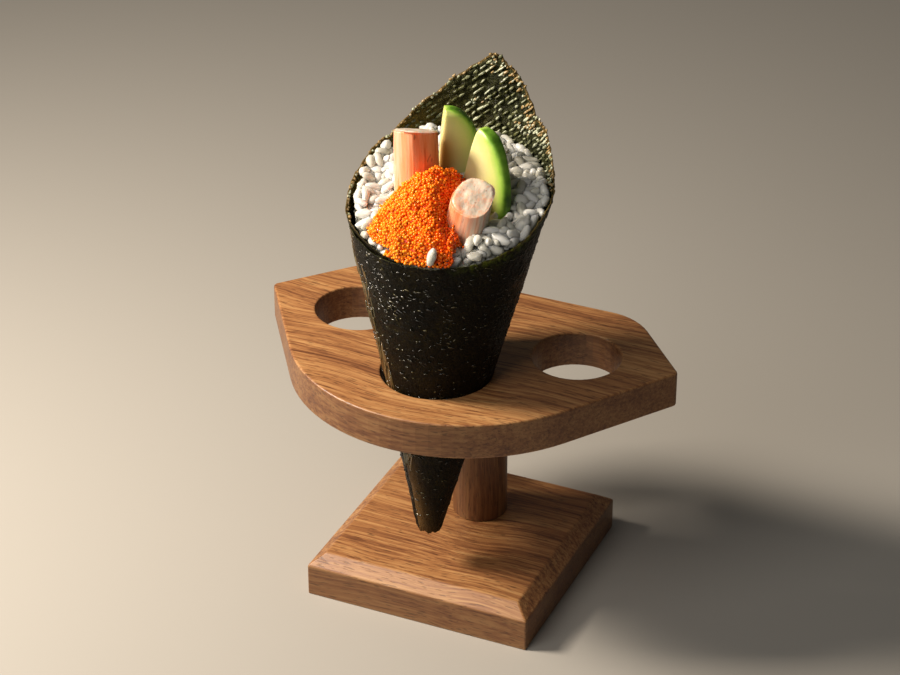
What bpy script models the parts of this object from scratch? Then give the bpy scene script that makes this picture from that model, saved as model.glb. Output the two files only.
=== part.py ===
"""A temaki hand roll standing in its own walnut stand.

Frame: metres, +Z up, origin at the centre of the base's underside.
+X runs along the stand's plate, -Y is the side that the roll stands on.
The food is laid out in the roll's own frame: its apex is the point that the
rolled cone would close to, +Z runs up the cone's axis and -Y looks forward.
"""

import math

import bmesh
import bpy
from mathutils import Matrix, Vector, noise

MM = 0.001
GAP = 0.3 * MM                      # clearance kept between touching pieces

# ---- stand --------------------------------------------------------------
BASE_SIDE = 71 * MM
BASE_EDGE_HEIGHT = 10.2 * MM        # height of the vertical sides
BASE_HEIGHT = 13.5 * MM
BASE_CHAMFER = 4.4 * MM             # how far the chamfer runs in over the top
BASE_SOFTENING = 0.4 * MM

POST_RADIUS = 8.3 * MM
POST_X = 1.2 * MM
POST_Y = 10 * MM

PLATE_TOP = 80 * MM
PLATE_THICKNESS = 11 * MM
PLATE_Y = 4.6 * MM                  # where the line between the two tips lies
PLATE_HALF_LENGTH = 65 * MM
PLATE_FRONT_ANGLE = math.radians(56)
PLATE_FRONT_RADIUS = 52.2 * MM
PLATE_BACK_X = 43 * MM              # where the back's straight edges would meet
PLATE_BACK_REACH = 25.5 * MM
PLATE_BACK_RADIUS = 18 * MM
PLATE_TIP_RADIUS = 1.6 * MM
PLATE_EDGE_ROUND = 0.6 * MM

SIDE_HOLE_RADIUS = 13.1 * MM
SIDE_HOLE_X = 34.8 * MM
SIDE_HOLE_Y = 1.8 * MM
ROLL_HOLE_RADIUS = 16.1 * MM
ROLL_HOLE_X = 1.1 * MM
ROLL_HOLE_Y = -21.9 * MM

# ---- rolled cone --------------------------------------------------------
ROLL_APEX = Vector((-2.0, -23.3, 10.0)) * MM
ROLL_TURN = math.radians(24)        # the roll's front, turned from the stand's
ROLL_LEAN = math.radians(2.8)       # lean towards the roll's own +X
HALF_ANGLE = math.radians(12.66)

NORI_THICKNESS = 0.5 * MM
NORI_LAYER_STEP = 0.9 * MM          # how much deeper the inner turn lies
NORI_CORNER = math.radians(158)     # where the sheet's corner stands up
NORI_EDGE_REACH = 119.5 * MM        # apex to the sheet's straight edges
NORI_EDGE_TURN = math.radians(41.9)
NORI_SEAM_TOP = math.radians(-82)
NORI_SEAM_TIP = math.radians(-38)
NORI_END = math.radians(330)
NORI_TUCK_START = math.radians(205)
NORI_TUCK_END = math.radians(270)
NORI_TIP_SLANT = 17 * MM
NORI_RAGGEDNESS = 0.5 * MM          # of the two straight edges
NORI_TIP_RAGGEDNESS = 1.2 * MM

# ---- rice ---------------------------------------------------------------
RICE_FOOT_SLANT = 40 * MM
RICE_LEVEL = 125.4 * MM             # height of its surface on the axis
RICE_SLOPE = 0.284
RICE_RISE_DIRECTION = math.radians(155)
RICE_UNEVENNESS = 0.9 * MM
RICE_LUMP = 5 * MM                  # across one lump of its surface
RICE_HOLLOW = 2.2 * MM              # a dip beside the right avocado slice
RICE_HOLLOW_PLACE = Vector((15, -8)) * MM
RICE_HOLLOW_RADIUS = 7 * MM

# ---- fillings, in the roll's frame --------------------------------------
CRAB_TALL_RADIUS = 6.2 * MM
CRAB_TALL_FOOT = Vector((-6, 2, 85)) * MM
CRAB_TALL_TOP = Vector((-9.1, 5.9, 142.6)) * MM
CRAB_TALL_CUT = Vector((0, 0.37, 0.93))         # the cut end's normal
CRAB_SHORT_RADIUS = 5.6 * MM
CRAB_SHORT_FOOT = Vector((-0.2, -9.4, 85)) * MM
CRAB_SHORT_TOP = Vector((7.1, -12.7, 132.6)) * MM
CRAB_SHORT_CUT = Vector((-0.05, -0.5, 0.86))
AVOCADO_LEFT = {
    "tip": Vector((-0.6, 14.3, 146.1)) * MM,
    "turn": math.radians(5),
    "back_lean": math.radians(3),
    "side_lean": 0,
    "length": 46 * MM,
    "thickness": 5.4 * MM,
    "inner_reach": 1.8 * MM,
    "outer_reach": 10.5 * MM,
    "tip_run": 17 * MM,
}
AVOCADO_RIGHT = {
    "tip": Vector((9.7, 3.0, 145.6)) * MM,
    "turn": math.radians(-50),
    "back_lean": math.radians(1),
    "side_lean": math.radians(2),
    "length": 44 * MM,
    "thickness": 4.6 * MM,
    "inner_reach": 5.6 * MM,
    "outer_reach": 12.5 * MM,
    "tip_run": 20 * MM,
}
AVOCADO_TIP_HALF_WIDTH = 0.8 * MM
ROE_CREST = Vector((-4, -4)) * MM
# from the front round by the right, the back and the left, an eighth of a turn apart
ROE_REACHES = [reach * MM for reach in (23, 12, 11, 12, 6, 8, 13, 22)]
ROE_VALLEY = 7 * MM
ROE_LIMIT = 25 * MM                 # stays inside the nori
ROE_HEIGHT = 11 * MM
ROE_EDGE = 1.2 * MM
ROE_CLEARANCE = 0.7 * MM            # over the rice's lumps


def add_collection(name):
    collection = bpy.data.collections.new(name)
    bpy.context.scene.collection.children.link(collection)
    return collection


def make_material(name, colour, roughness):
    material = bpy.data.materials.new(name)
    material.use_nodes = True
    shader = material.node_tree.nodes["Principled BSDF"]
    shader.inputs["Base Color"].default_value = (*colour, 1)
    shader.inputs["Roughness"].default_value = roughness
    shader.inputs["Metallic"].default_value = 0
    material.diffuse_color = (*colour, 1)
    return material


def add_object(name, mesh, material, collection, smooth=True):
    mesh.name = name
    if material:
        mesh.materials.append(material)
    if smooth:
        mesh.shade_smooth()
        mesh.set_sharp_from_angle(angle=math.radians(35))
    obj = bpy.data.objects.new(name, mesh)
    collection.objects.link(obj)
    return obj


def mesh_from_bmesh(bm):
    bmesh.ops.recalc_face_normals(bm, faces=bm.faces)
    mesh = bpy.data.meshes.new("shape")
    bm.to_mesh(mesh)
    bm.free()
    return mesh


def add_cutter(name, mesh, collection):
    cutter = add_object(name, mesh, None, collection, smooth=False)
    cutter.hide_render = True
    cutter.display_type = "WIRE"
    return cutter


def cut_with(obj, cutters):
    for cutter in cutters:
        cut = obj.modifiers.new("cut", "BOOLEAN")
        cut.operation = "DIFFERENCE"
        cut.solver = "EXACT"
        cut.object = cutter


# ---- stand --------------------------------------------------------------

def base_mesh():
    bm = bmesh.new()
    bmesh.ops.create_cube(bm, size=1)
    bmesh.ops.scale(bm, vec=(BASE_SIDE, BASE_SIDE, BASE_EDGE_HEIGHT), verts=bm.verts)
    bmesh.ops.translate(bm, vec=(0, 0, BASE_EDGE_HEIGHT / 2), verts=bm.verts)
    top = max(bm.faces, key=lambda face: face.calc_center_median().z)
    raised = bmesh.ops.extrude_face_region(bm, geom=[top])["geom"]
    rim = [item for item in raised if isinstance(item, bmesh.types.BMVert)]
    bmesh.ops.delete(bm, geom=[top], context="FACES_ONLY")
    shrink = 1 - 2 * BASE_CHAMFER / BASE_SIDE
    bmesh.ops.scale(bm, vec=(shrink, shrink, 1), verts=rim)
    bmesh.ops.translate(bm, vec=(0, 0, BASE_HEIGHT - BASE_EDGE_HEIGHT), verts=rim)
    return mesh_from_bmesh(bm)


def add_base(collection, material):
    base = add_object("stand_base", base_mesh(), material, collection)
    soften = base.modifiers.new("softened edges", "BEVEL")
    soften.width = BASE_SOFTENING
    soften.segments = 2
    soften.limit_method = "ANGLE"
    soften.angle_limit = math.radians(20)


def add_post(collection, material):
    foot = BASE_HEIGHT + GAP
    height = PLATE_TOP - PLATE_THICKNESS - GAP - foot
    bm = bmesh.new()
    bmesh.ops.create_cone(bm, cap_ends=True, segments=40, radius1=POST_RADIUS,
                          radius2=POST_RADIUS, depth=height)
    post = add_object("stand_post", mesh_from_bmesh(bm), material, collection)
    post.location = (POST_X, POST_Y, foot + height / 2)


def fillet(before, corner, after, radius, steps):
    """Points of the arc that rounds one corner of a closed outline."""
    toward_before = (before - corner).normalized()
    toward_after = (after - corner).normalized()
    half = toward_before.angle(toward_after) / 2
    centre = corner + (toward_before + toward_after).normalized() * (radius / math.sin(half))
    start = corner + toward_before * (radius / math.tan(half)) - centre
    sweep = math.pi - 2 * half
    if toward_before.x * toward_after.y - toward_before.y * toward_after.x > 0:
        sweep = -sweep
    points = []
    for step in range(steps + 1):
        turned = Matrix.Rotation(sweep * step / steps, 2) @ start
        points.append(centre + turned)
    return points


def plate_outline():
    front_y = -PLATE_HALF_LENGTH * math.tan(PLATE_FRONT_ANGLE)
    corners = [
        (-PLATE_HALF_LENGTH, 0, PLATE_TIP_RADIUS, 3),
        (0, front_y, PLATE_FRONT_RADIUS, 28),
        (PLATE_HALF_LENGTH, 0, PLATE_TIP_RADIUS, 3),
        (PLATE_BACK_X, PLATE_BACK_REACH, PLATE_BACK_RADIUS, 7),
        (-PLATE_BACK_X, PLATE_BACK_REACH, PLATE_BACK_RADIUS, 7),
    ]
    points = []
    for index, (x, y, radius, steps) in enumerate(corners):
        before = Vector(corners[index - 1][:2])
        after = Vector(corners[(index + 1) % len(corners)][:2])
        points += fillet(before, Vector((x, y)), after, radius, steps)
    return [point + Vector((0, PLATE_Y)) for point in points]


def circle_outline(x, y, radius, count):
    points = []
    for step in range(count):
        angle = 2 * math.pi * step / count
        points.append(Vector((x + radius * math.cos(angle), y + radius * math.sin(angle))))
    return points


def add_outline(curve, points):
    spline = curve.splines.new("POLY")
    spline.points.add(len(points) - 1)
    spline.use_cyclic_u = True
    for place, point in zip(spline.points, points):
        place.co = (point.x, point.y, 0, 1)


def add_plate(collection, material):
    """The plate and its three holes, one flat outline with rounded edges."""
    curve = bpy.data.curves.new("stand_plate", "CURVE")
    curve.dimensions = "2D"
    curve.fill_mode = "BOTH"
    curve.extrude = PLATE_THICKNESS / 2 - PLATE_EDGE_ROUND
    curve.bevel_depth = PLATE_EDGE_ROUND
    curve.bevel_resolution = 2
    curve.offset = -PLATE_EDGE_ROUND
    add_outline(curve, plate_outline())
    add_outline(curve, circle_outline(-SIDE_HOLE_X, SIDE_HOLE_Y, SIDE_HOLE_RADIUS, 40))
    add_outline(curve, circle_outline(SIDE_HOLE_X, SIDE_HOLE_Y, SIDE_HOLE_RADIUS, 40))
    add_outline(curve, circle_outline(ROLL_HOLE_X, ROLL_HOLE_Y, ROLL_HOLE_RADIUS, 48))
    drawn = bpy.data.objects.new("plate outline", curve)
    collection.objects.link(drawn)
    drawn.location.z = PLATE_TOP - PLATE_THICKNESS / 2
    graph = bpy.context.evaluated_depsgraph_get()
    graph.update()
    flat = bpy.data.meshes.new_from_object(drawn.evaluated_get(graph))
    place = drawn.matrix_world.copy()
    bpy.data.objects.remove(drawn)
    bm = bmesh.new()
    bm.from_mesh(flat)
    bmesh.ops.remove_doubles(bm, verts=bm.verts, dist=0.01 * MM)
    flat.materials.clear()
    plate = add_object("stand_plate", mesh_from_bmesh(bm), material, collection)
    plate.matrix_world = place


# ---- rolled sheet -------------------------------------------------------

def smooth_step(value, start, end):
    share = min(1, max(0, (value - start) / (end - start)))
    return share * share * (3 - 2 * share)


def on_cone(turn, slant, depth):
    """A point at a slant from the apex, sunk by depth under the cone's skin."""
    across = slant * math.sin(HALF_ANGLE) - depth * math.cos(HALF_ANGLE)
    height = slant * math.cos(HALF_ANGLE) + depth * math.sin(HALF_ANGLE)
    return Vector((across * math.sin(turn), -across * math.cos(turn), height))


def sheet_depth(turn):
    """The sheet slides under its own first edge as it comes round again."""
    return NORI_LAYER_STEP * smooth_step(turn, NORI_TUCK_START, NORI_TUCK_END)


def sheet_rim(turn):
    """Slant of the sheet's two straight edges, which meet in the raised corner."""
    unrolled = abs(turn - NORI_CORNER) * math.sin(HALF_ANGLE)
    ragged = NORI_RAGGEDNESS * noise.noise(Vector((turn * 4, 3.1, 0)))
    return NORI_EDGE_REACH / math.cos(unrolled - NORI_EDGE_TURN) + ragged


def sheet_tip(turn):
    return NORI_TIP_SLANT + NORI_TIP_RAGGEDNESS * noise.noise(Vector((turn * 2.5, 0, 7.7)))


def sheet_mesh():
    columns_before = 38
    columns_after = 26
    rows = 12
    shares = [step / columns_before for step in range(columns_before)]
    shares += [1 + step / columns_after for step in range(columns_after + 1)]
    bm = bmesh.new()
    outer = []
    inner = []
    for share in shares:
        outer_column = []
        inner_column = []
        for row in range(rows + 1):
            climb = row / rows
            seam = NORI_SEAM_TIP + (NORI_SEAM_TOP - NORI_SEAM_TIP) * min(1, climb * 1.15)
            if share < 1:
                turn = seam + (NORI_CORNER - seam) * share
            else:
                turn = NORI_CORNER + (NORI_END - NORI_CORNER) * (share - 1)
            low = sheet_tip(turn)
            slant = low + (sheet_rim(turn) - low) * climb
            depth = sheet_depth(turn)
            outer_column.append(bm.verts.new(on_cone(turn, slant, depth)))
            inner_column.append(bm.verts.new(on_cone(turn, slant, depth + NORI_THICKNESS)))
        outer.append(outer_column)
        inner.append(inner_column)
    last = len(shares) - 1
    for column in range(last):
        for row in range(rows):
            for side in (outer, inner):
                bm.faces.new((side[column][row], side[column + 1][row],
                              side[column + 1][row + 1], side[column][row + 1]))
        for row in (0, rows):
            bm.faces.new((outer[column][row], outer[column + 1][row],
                          inner[column + 1][row], inner[column][row]))
    for column in (0, last):
        for row in range(rows):
            bm.faces.new((outer[column][row], outer[column][row + 1],
                          inner[column][row + 1], inner[column][row]))
    return mesh_from_bmesh(bm)


# ---- rice ---------------------------------------------------------------

def rice_surface(x, y):
    """Height of the rice's uneven top: a plane that rises toward the back."""
    toward = x * math.sin(RICE_RISE_DIRECTION) - y * math.cos(RICE_RISE_DIRECTION)
    lumps = noise.noise(Vector((x, y, 0)) / RICE_LUMP) * RICE_UNEVENNESS
    away = (Vector((x, y)) - RICE_HOLLOW_PLACE).length / RICE_HOLLOW_RADIUS
    hollow = RICE_HOLLOW * math.exp(-away ** 2)
    return RICE_LEVEL + RICE_SLOPE * toward + lumps - hollow


def rice_depth(turn):
    """Depth of the rice under the cone's skin, clear of one turn of nori or two."""
    turn = turn % (2 * math.pi)
    inner_turn = smooth_step(turn, NORI_TUCK_START, NORI_TUCK_END)
    inner_turn *= 1 - smooth_step(turn, NORI_END + math.radians(3), math.radians(350))
    return NORI_THICKNESS + GAP + NORI_LAYER_STEP * inner_turn


def rice_edge_slant(turn):
    slant = NORI_EDGE_REACH
    for _ in range(6):
        point = on_cone(turn, slant, rice_depth(turn))
        slant += rice_surface(point.x, point.y) - point.z
    return slant


def rings_mesh(rings, first_pole, last_pole):
    """Closes rings of equal count into one body between two end points."""
    bm = bmesh.new()
    loops = [[bm.verts.new(point) for point in ring] for ring in rings]
    count = len(loops[0])
    for lower, upper in zip(loops, loops[1:]):
        for step in range(count):
            after = (step + 1) % count
            bm.faces.new((lower[step], lower[after], upper[after], upper[step]))
    for loop, pole in ((loops[0], first_pole), (loops[-1], last_pole)):
        end = bm.verts.new(pole)
        for step in range(count):
            bm.faces.new((loop[step], loop[(step + 1) % count], end))
    return mesh_from_bmesh(bm)


def rice_mesh():
    around = 44
    wall_rows = 7
    top_rows = 7
    turns = [2 * math.pi * step / around for step in range(around)]
    rings = []
    for row in range(wall_rows + 1):
        ring = []
        for turn in turns:
            climb = row / wall_rows
            slant = RICE_FOOT_SLANT + (rice_edge_slant(turn) - RICE_FOOT_SLANT) * climb
            ring.append(on_cone(turn, slant, rice_depth(turn)))
        rings.append(ring)
    for row in range(1, top_rows):
        ring = []
        for rim in rings[wall_rows]:
            share = 1 - row / top_rows
            x = rim.x * share
            y = rim.y * share
            ring.append(Vector((x, y, rice_surface(x, y))))
        rings.append(ring)
    foot = sum(rings[0], Vector()) / around
    return rings_mesh(rings, foot, Vector((0, 0, rice_surface(0, 0))))


# ---- fillings -----------------------------------------------------------

def stick_mesh(foot, top, cut_direction, radius, grow=0):
    """A round crab stick from foot to top, its upper end cut square to cut_direction."""
    axis = (top - foot).normalized()
    radius += grow
    length = (top - foot).length + 2 * radius
    bm = bmesh.new()
    bmesh.ops.create_cone(bm, cap_ends=True, segments=28, radius1=radius,
                          radius2=radius, depth=length)
    bmesh.ops.translate(bm, vec=(0, 0, length / 2 - grow), verts=bm.verts)
    turn = axis.to_track_quat("Z", "Y").to_matrix().to_4x4()
    bmesh.ops.transform(bm, matrix=Matrix.Translation(foot) @ turn, verts=bm.verts)
    cut_direction = cut_direction.normalized()
    geometry = bm.verts[:] + bm.edges[:] + bm.faces[:]
    sliced = bmesh.ops.bisect_plane(bm, geom=geometry, dist=0.001 * MM,
                                    plane_co=top + cut_direction * grow,
                                    plane_no=cut_direction, clear_outer=True)
    edges = [item for item in sliced["geom_cut"] if isinstance(item, bmesh.types.BMEdge)]
    bmesh.ops.contextual_create(bm, geom=edges)
    return mesh_from_bmesh(bm)


def slice_place(shape):
    """The slice's own frame: X from the stone side to the skin side, Z up to its tip."""
    turn = Matrix.Rotation(shape["turn"], 4, "Z")
    back = Matrix.Rotation(-shape["back_lean"], 4, "X")
    side = Matrix.Rotation(shape["side_lean"], 4, "Y")
    return Matrix.Translation(shape["tip"]) @ turn @ back @ side


def slice_mesh(shape, grow=0):
    """A lengthwise slice of avocado, pointed at the top, its skin side toward +X."""
    rows = 12
    edge_steps = 6
    place = slice_place(shape)
    half = shape["thickness"] / 2 + grow
    rings = []
    for row in range(rows + 1):
        climb = row / rows
        z = -shape["length"] * (1 - climb) ** 1.6
        share = min(1, -z / shape["tip_run"])
        bulge = math.sqrt(1 - (1 - share) ** 2)
        outer_run = shape["outer_reach"] - AVOCADO_TIP_HALF_WIDTH
        inner_run = shape["inner_reach"] - AVOCADO_TIP_HALF_WIDTH
        outer = AVOCADO_TIP_HALF_WIDTH + outer_run * bulge + grow
        inner = -AVOCADO_TIP_HALF_WIDTH - inner_run * share ** 0.8 - grow
        if row == 0:
            z -= grow
        if row == rows:
            z += grow
        section = [(inner, -half), (inner, half)]
        for step in range(edge_steps + 1):
            angle = math.pi / 2 - math.pi * step / edge_steps
            rounding = half * 0.45 * (1 - math.cos(angle))
            section.append((outer - rounding, half * math.sin(angle)))
        rings.append([place @ Vector((x, y, z)) for x, y in section])
    foot = sum(rings[0], Vector()) / len(rings[0])
    tip = sum(rings[-1], Vector()) / len(rings[-1])
    return rings_mesh(rings, foot, tip)


def filling_shapes(grow=0):
    """Every filling's mesh by name; a positive grow gives its cutter."""
    return {
        "crab_stick_tall": stick_mesh(CRAB_TALL_FOOT, CRAB_TALL_TOP, CRAB_TALL_CUT,
                                      CRAB_TALL_RADIUS, grow),
        "crab_stick_short": stick_mesh(CRAB_SHORT_FOOT, CRAB_SHORT_TOP, CRAB_SHORT_CUT,
                                       CRAB_SHORT_RADIUS, grow),
        "avocado_left": slice_mesh(AVOCADO_LEFT, grow),
        "avocado_right": slice_mesh(AVOCADO_RIGHT, grow),
    }


# ---- roe ----------------------------------------------------------------

def roe_reach(turn):
    """How far the heap spreads from its crest, eased between the eight named ways."""
    way = (turn % (2 * math.pi)) / (math.pi / 4)
    first = int(way)
    share = smooth_step(way - first, 0, 1)
    near = ROE_REACHES[first % 8]
    return near + (ROE_REACHES[(first + 1) % 8] - near) * share


def roe_height(x, y, share):
    """Thickness over the rice: a mound that falls away beside the short stick."""
    valley = smooth_step(math.hypot(x - CRAB_SHORT_TOP.x, y - CRAB_SHORT_TOP.y),
                         CRAB_SHORT_RADIUS, CRAB_SHORT_RADIUS + ROE_VALLEY)
    mound = (1 - share ** 1.6) * (0.2 + 0.8 * valley)
    return ROE_EDGE + (ROE_HEIGHT - ROE_EDGE) * mound


def roe_mesh():
    around = 40
    rows = 6
    lower = []
    upper = []
    for row in range(rows, 0, -1):
        share = row / rows
        low_ring = []
        high_ring = []
        for step in range(around):
            turn = 2 * math.pi * step / around
            reach = roe_reach(turn) * share
            x = ROE_CREST.x + reach * math.sin(turn)
            y = ROE_CREST.y - reach * math.cos(turn)
            inside = min(1, ROE_LIMIT / math.hypot(x, y))
            x *= inside
            y *= inside
            ground = rice_surface(x, y) + ROE_CLEARANCE
            low_ring.append(Vector((x, y, ground)))
            high_ring.append(Vector((x, y, ground + roe_height(x, y, share))))
        lower.insert(0, low_ring)
        upper.append(high_ring)
    ground = rice_surface(*ROE_CREST) + ROE_CLEARANCE
    peak = ground + roe_height(*ROE_CREST, 0)
    return rings_mesh(lower + upper, Vector((*ROE_CREST, ground)), Vector((*ROE_CREST, peak)))


def add_food(collection, cutters):
    place = Matrix.Translation(ROLL_APEX) @ Matrix.Rotation(ROLL_TURN, 4, "Z")
    place = place @ Matrix.Rotation(ROLL_LEAN, 4, "Y")
    nori = make_material("nori", (0.014, 0.02, 0.008), 0.45)
    rice = make_material("rice", (0.80, 0.79, 0.74), 0.35)
    crab = make_material("crab stick", (0.86, 0.45, 0.32), 0.4)
    avocado = make_material("avocado", (0.62, 0.66, 0.25), 0.45)
    roe = make_material("roe", (0.90, 0.20, 0.02), 0.2)

    sheet = add_object("nori_wrap", sheet_mesh(), nori, collection)
    sheet.matrix_world = place
    tools = []
    for name, mesh in filling_shapes(GAP).items():
        tool = add_cutter(name + " space", mesh, cutters)
        tool.matrix_world = place
        tools.append(tool)
    for name, mesh in filling_shapes().items():
        material = avocado if name.startswith("avocado") else crab
        filling = add_object(name, mesh, material, collection)
        filling.matrix_world = place
    body = add_object("rice", rice_mesh(), rice, collection)
    body.matrix_world = place
    cut_with(body, tools)
    heap = add_object("roe_heap", roe_mesh(), roe, collection)
    heap.matrix_world = place
    cut_with(heap, tools)


def main():
    for obj in list(bpy.data.objects):
        bpy.data.objects.remove(obj)
    collection = add_collection("temaki hand roll")
    cutters = add_collection("cutters")
    walnut = make_material("walnut", (0.30, 0.13, 0.05), 0.45)
    add_base(collection, walnut)
    add_post(collection, walnut)
    add_plate(collection, walnut)
    add_food(collection, cutters)


main()
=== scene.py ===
"""Looks of a temaki hand roll that stands in its own walnut holder.

The food is laid out in the roll's own frame, in millimetres: its apex is the point
that the rolled cone would close to, +Z runs up the cone's axis and -Y looks forward.
A turn is an angle round that axis, from the front toward +X.
"""

import math

import bmesh
import bpy
import numpy as np
from mathutils import Matrix, Quaternion, Vector, noise
from mathutils.bvhtree import BVHTree


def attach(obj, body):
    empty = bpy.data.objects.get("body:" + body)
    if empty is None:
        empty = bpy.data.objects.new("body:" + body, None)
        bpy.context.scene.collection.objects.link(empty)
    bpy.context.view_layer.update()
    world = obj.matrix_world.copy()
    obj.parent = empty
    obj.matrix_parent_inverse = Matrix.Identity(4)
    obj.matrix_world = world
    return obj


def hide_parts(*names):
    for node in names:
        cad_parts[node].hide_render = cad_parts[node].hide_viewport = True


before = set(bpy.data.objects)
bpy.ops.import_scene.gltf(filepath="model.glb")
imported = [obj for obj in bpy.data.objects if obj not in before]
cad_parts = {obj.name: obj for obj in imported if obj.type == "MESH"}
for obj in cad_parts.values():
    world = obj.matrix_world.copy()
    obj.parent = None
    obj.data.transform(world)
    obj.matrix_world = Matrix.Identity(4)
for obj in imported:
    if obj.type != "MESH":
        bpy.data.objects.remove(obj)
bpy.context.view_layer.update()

MM = 0.001

# ---- the rolled cone, as the frame has it ---------------------------------
ROLL_APEX = Vector((-2.0, -23.3, 10.0))
ROLL_TURN = math.radians(24)
ROLL_LEAN = math.radians(2.8)
HALF_ANGLE = math.radians(12.66)
ROLL = (Matrix.Scale(MM, 4) @ Matrix.Translation(ROLL_APEX)
        @ Matrix.Rotation(ROLL_TURN, 4, "Z") @ Matrix.Rotation(ROLL_LEAN, 4, "Y"))

NORI_THICKNESS = 0.3
NORI_LAYER_STEP = 0.55
NORI_CORNER = math.radians(158)
NORI_EDGE_REACH = 119.5
NORI_EDGE_TURN = math.radians(41.9)
NORI_SEAM_TOP = math.radians(-82)
NORI_SEAM_TIP = math.radians(-38)
NORI_END = math.radians(330)
NORI_TUCK_START = math.radians(205)
NORI_TUCK_END = math.radians(270)
NORI_TIP_SLANT = 17
# where the straight edges dip, how deep and how wide: turn, millimetres, turn
NORI_DIPS = ((math.radians(131), 1.9, math.radians(9)),
             (math.radians(151.5), 0.6, math.radians(3.2)),
             (NORI_CORNER, 1.3, math.radians(1.5)),
             (math.radians(211), 1.9, math.radians(7)),
             (math.radians(218), 1.3, math.radians(36)))

RICE_LEVEL = 125.4
RICE_SLOPE = 0.284
RICE_RISE_DIRECTION = math.radians(155)

# the stretch of the rim that roe runs down to
RIM_ROE_FROM = math.radians(-40)
RIM_ROE_TO = math.radians(5)

# one grain of rice that lies on the roe at the front
STRAY_GRAIN = Vector((-3.8, -26.0, 120.7))
STRAY_GRAIN_WAY = Vector((0.22, 0.2, 0.95))

CRAB_TALL = {
    "foot": Vector((-6, 2, 85)), "top": Vector((-9.1, 5.9, 142.9)), "radius": 5.9,
    "cut": Vector((0, 0.37, 0.93)), "dyed": Vector((0.8, -0.6, 0)), "seed": 1.3,
    "dye_narrowing": 0.9, "side_dye": 0.13, "face_dye": -0.12,
    "lumpiness": 1.0,
}
CRAB_SHORT = {
    "foot": Vector((-0.2, -9.4, 85)), "top": Vector((7.1, -12.7, 132.6)), "radius": 5.6,
    "cut": Vector((-0.05, -0.5, 0.86)), "dyed": Vector((-0.94, -0.34, 0)), "seed": 4.9,
    "dye_narrowing": 1.6, "side_dye": -0.02, "face_dye": 0.04,
    "lumpiness": 2.0,
}


# ---- helpers --------------------------------------------------------------

def colour(code):
    """A linear colour from an sRGB hex code."""
    channels = [int(code[i:i + 2], 16) / 255 for i in (0, 2, 4)]
    return (*[c / 12.92 if c <= 0.04045 else ((c + 0.055) / 1.055) ** 2.4
              for c in channels], 1)


def add_node(tree, kind, inputs=None, stops=None, **settings):
    """Adds a node with its settings, a ramp's stops, and its inputs' values or links."""
    node = tree.nodes.new(kind)
    for name, value in settings.items():
        setattr(node, name, value)
    if stops:
        elements = node.color_ramp.elements
        while len(elements) < len(stops):
            elements.new(1)
        for element, (place, value) in zip(elements, stops):
            element.position = place
            element.color = colour(value) if isinstance(value, str) else (value,) * 3 + (1,)
    for name, value in (inputs or {}).items():
        if isinstance(value, bpy.types.Node):
            value = value.outputs[0]
        if isinstance(value, bpy.types.NodeSocket):
            tree.links.new(value, node.inputs[name])
        else:
            node.inputs[name].default_value = value
    return node


def new_material(name, **values):
    """A material whose Principled shader takes plain values by its sockets' names."""
    material = bpy.data.materials.new(name)
    material.use_nodes = True
    shader = material.node_tree.nodes["Principled BSDF"]
    for socket, value in values.items():
        shader.inputs[socket.replace("_", " ")].default_value = value
    return material, material.node_tree, shader


def smooth_step(value, start, end):
    share = min(1, max(0, (value - start) / (end - start)))
    return share * share * (3 - 2 * share)


def ripple(x, y, z=0.0, size=1.0, octaves=1):
    """Smooth noise from -1 to 1 whose lumps are about size across."""
    point = Vector((x, y, z)) / size
    if octaves == 1:
        return noise.noise(point)
    return noise.fractal(point, 1.0, 2.0, octaves)


def link_object(name, mesh, *materials):
    mesh.name = name
    for material in materials:
        mesh.materials.append(material)
    obj = bpy.data.objects.new(name, mesh)
    bpy.context.scene.collection.objects.link(obj)
    return obj


def mesh_of_rings(rings, capped=True, closed=True):
    """A surface through rings of equal count, closed at both ends by a point each."""
    count = len(rings[0])
    points = [point for ring in rings for point in ring]
    faces = []
    wrap = count if closed else count - 1
    for row in range(len(rings) - 1):
        for step in range(wrap):
            a = row * count + step
            b = row * count + (step + 1) % count
            faces.append((a, b, b + count, a + count))
    if capped:
        for ring, turned in ((0, True), (len(rings) - 1, False)):
            pole = len(points)
            points.append(sum(rings[ring], Vector()) / count)
            for step in range(count):
                a = ring * count + step
                b = ring * count + (step + 1) % count
                faces.append((b, a, pole) if turned else (a, b, pole))
    mesh = bpy.data.meshes.new("surface")
    mesh.from_pydata(points, [], faces)
    mesh.shade_smooth()
    return mesh


def face_outward(mesh):
    bm = bmesh.new()
    bm.from_mesh(mesh)
    bmesh.ops.recalc_face_normals(bm, faces=bm.faces)
    bm.to_mesh(mesh)
    bm.free()


def store(mesh, name, values, kind="FLOAT"):
    attribute = mesh.attributes.new(name, kind, "POINT")
    field = "value" if kind == "FLOAT" else "vector"
    attribute.data.foreach_set(field, np.asarray(values, np.float32).ravel())


def as_plain_mesh(obj):
    """Applies every modifier of obj, so that its mesh holds the result."""
    graph = bpy.context.evaluated_depsgraph_get()
    graph.update()
    mesh = bpy.data.meshes.new_from_object(obj.evaluated_get(graph),
                                           preserve_all_data_layers=True, depsgraph=graph)
    obj.modifiers.clear()
    obj.data = mesh
    return obj


def new_tree(name, sockets):
    """A geometry tree with a named input for each size, and those inputs' identifiers."""
    tree = bpy.data.node_groups.new(name, "GeometryNodeTree")
    tree.interface.new_socket("Geometry", in_out="INPUT", socket_type="NodeSocketGeometry")
    names = {}
    for label, kind in sockets.items():
        item = tree.interface.new_socket(label, in_out="INPUT", socket_type="NodeSocket" + kind)
        names[label] = item.identifier
    tree.interface.new_socket("Geometry", in_out="OUTPUT", socket_type="NodeSocketGeometry")
    return tree, names, tree.nodes.new("NodeGroupInput"), tree.nodes.new("NodeGroupOutput")


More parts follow.
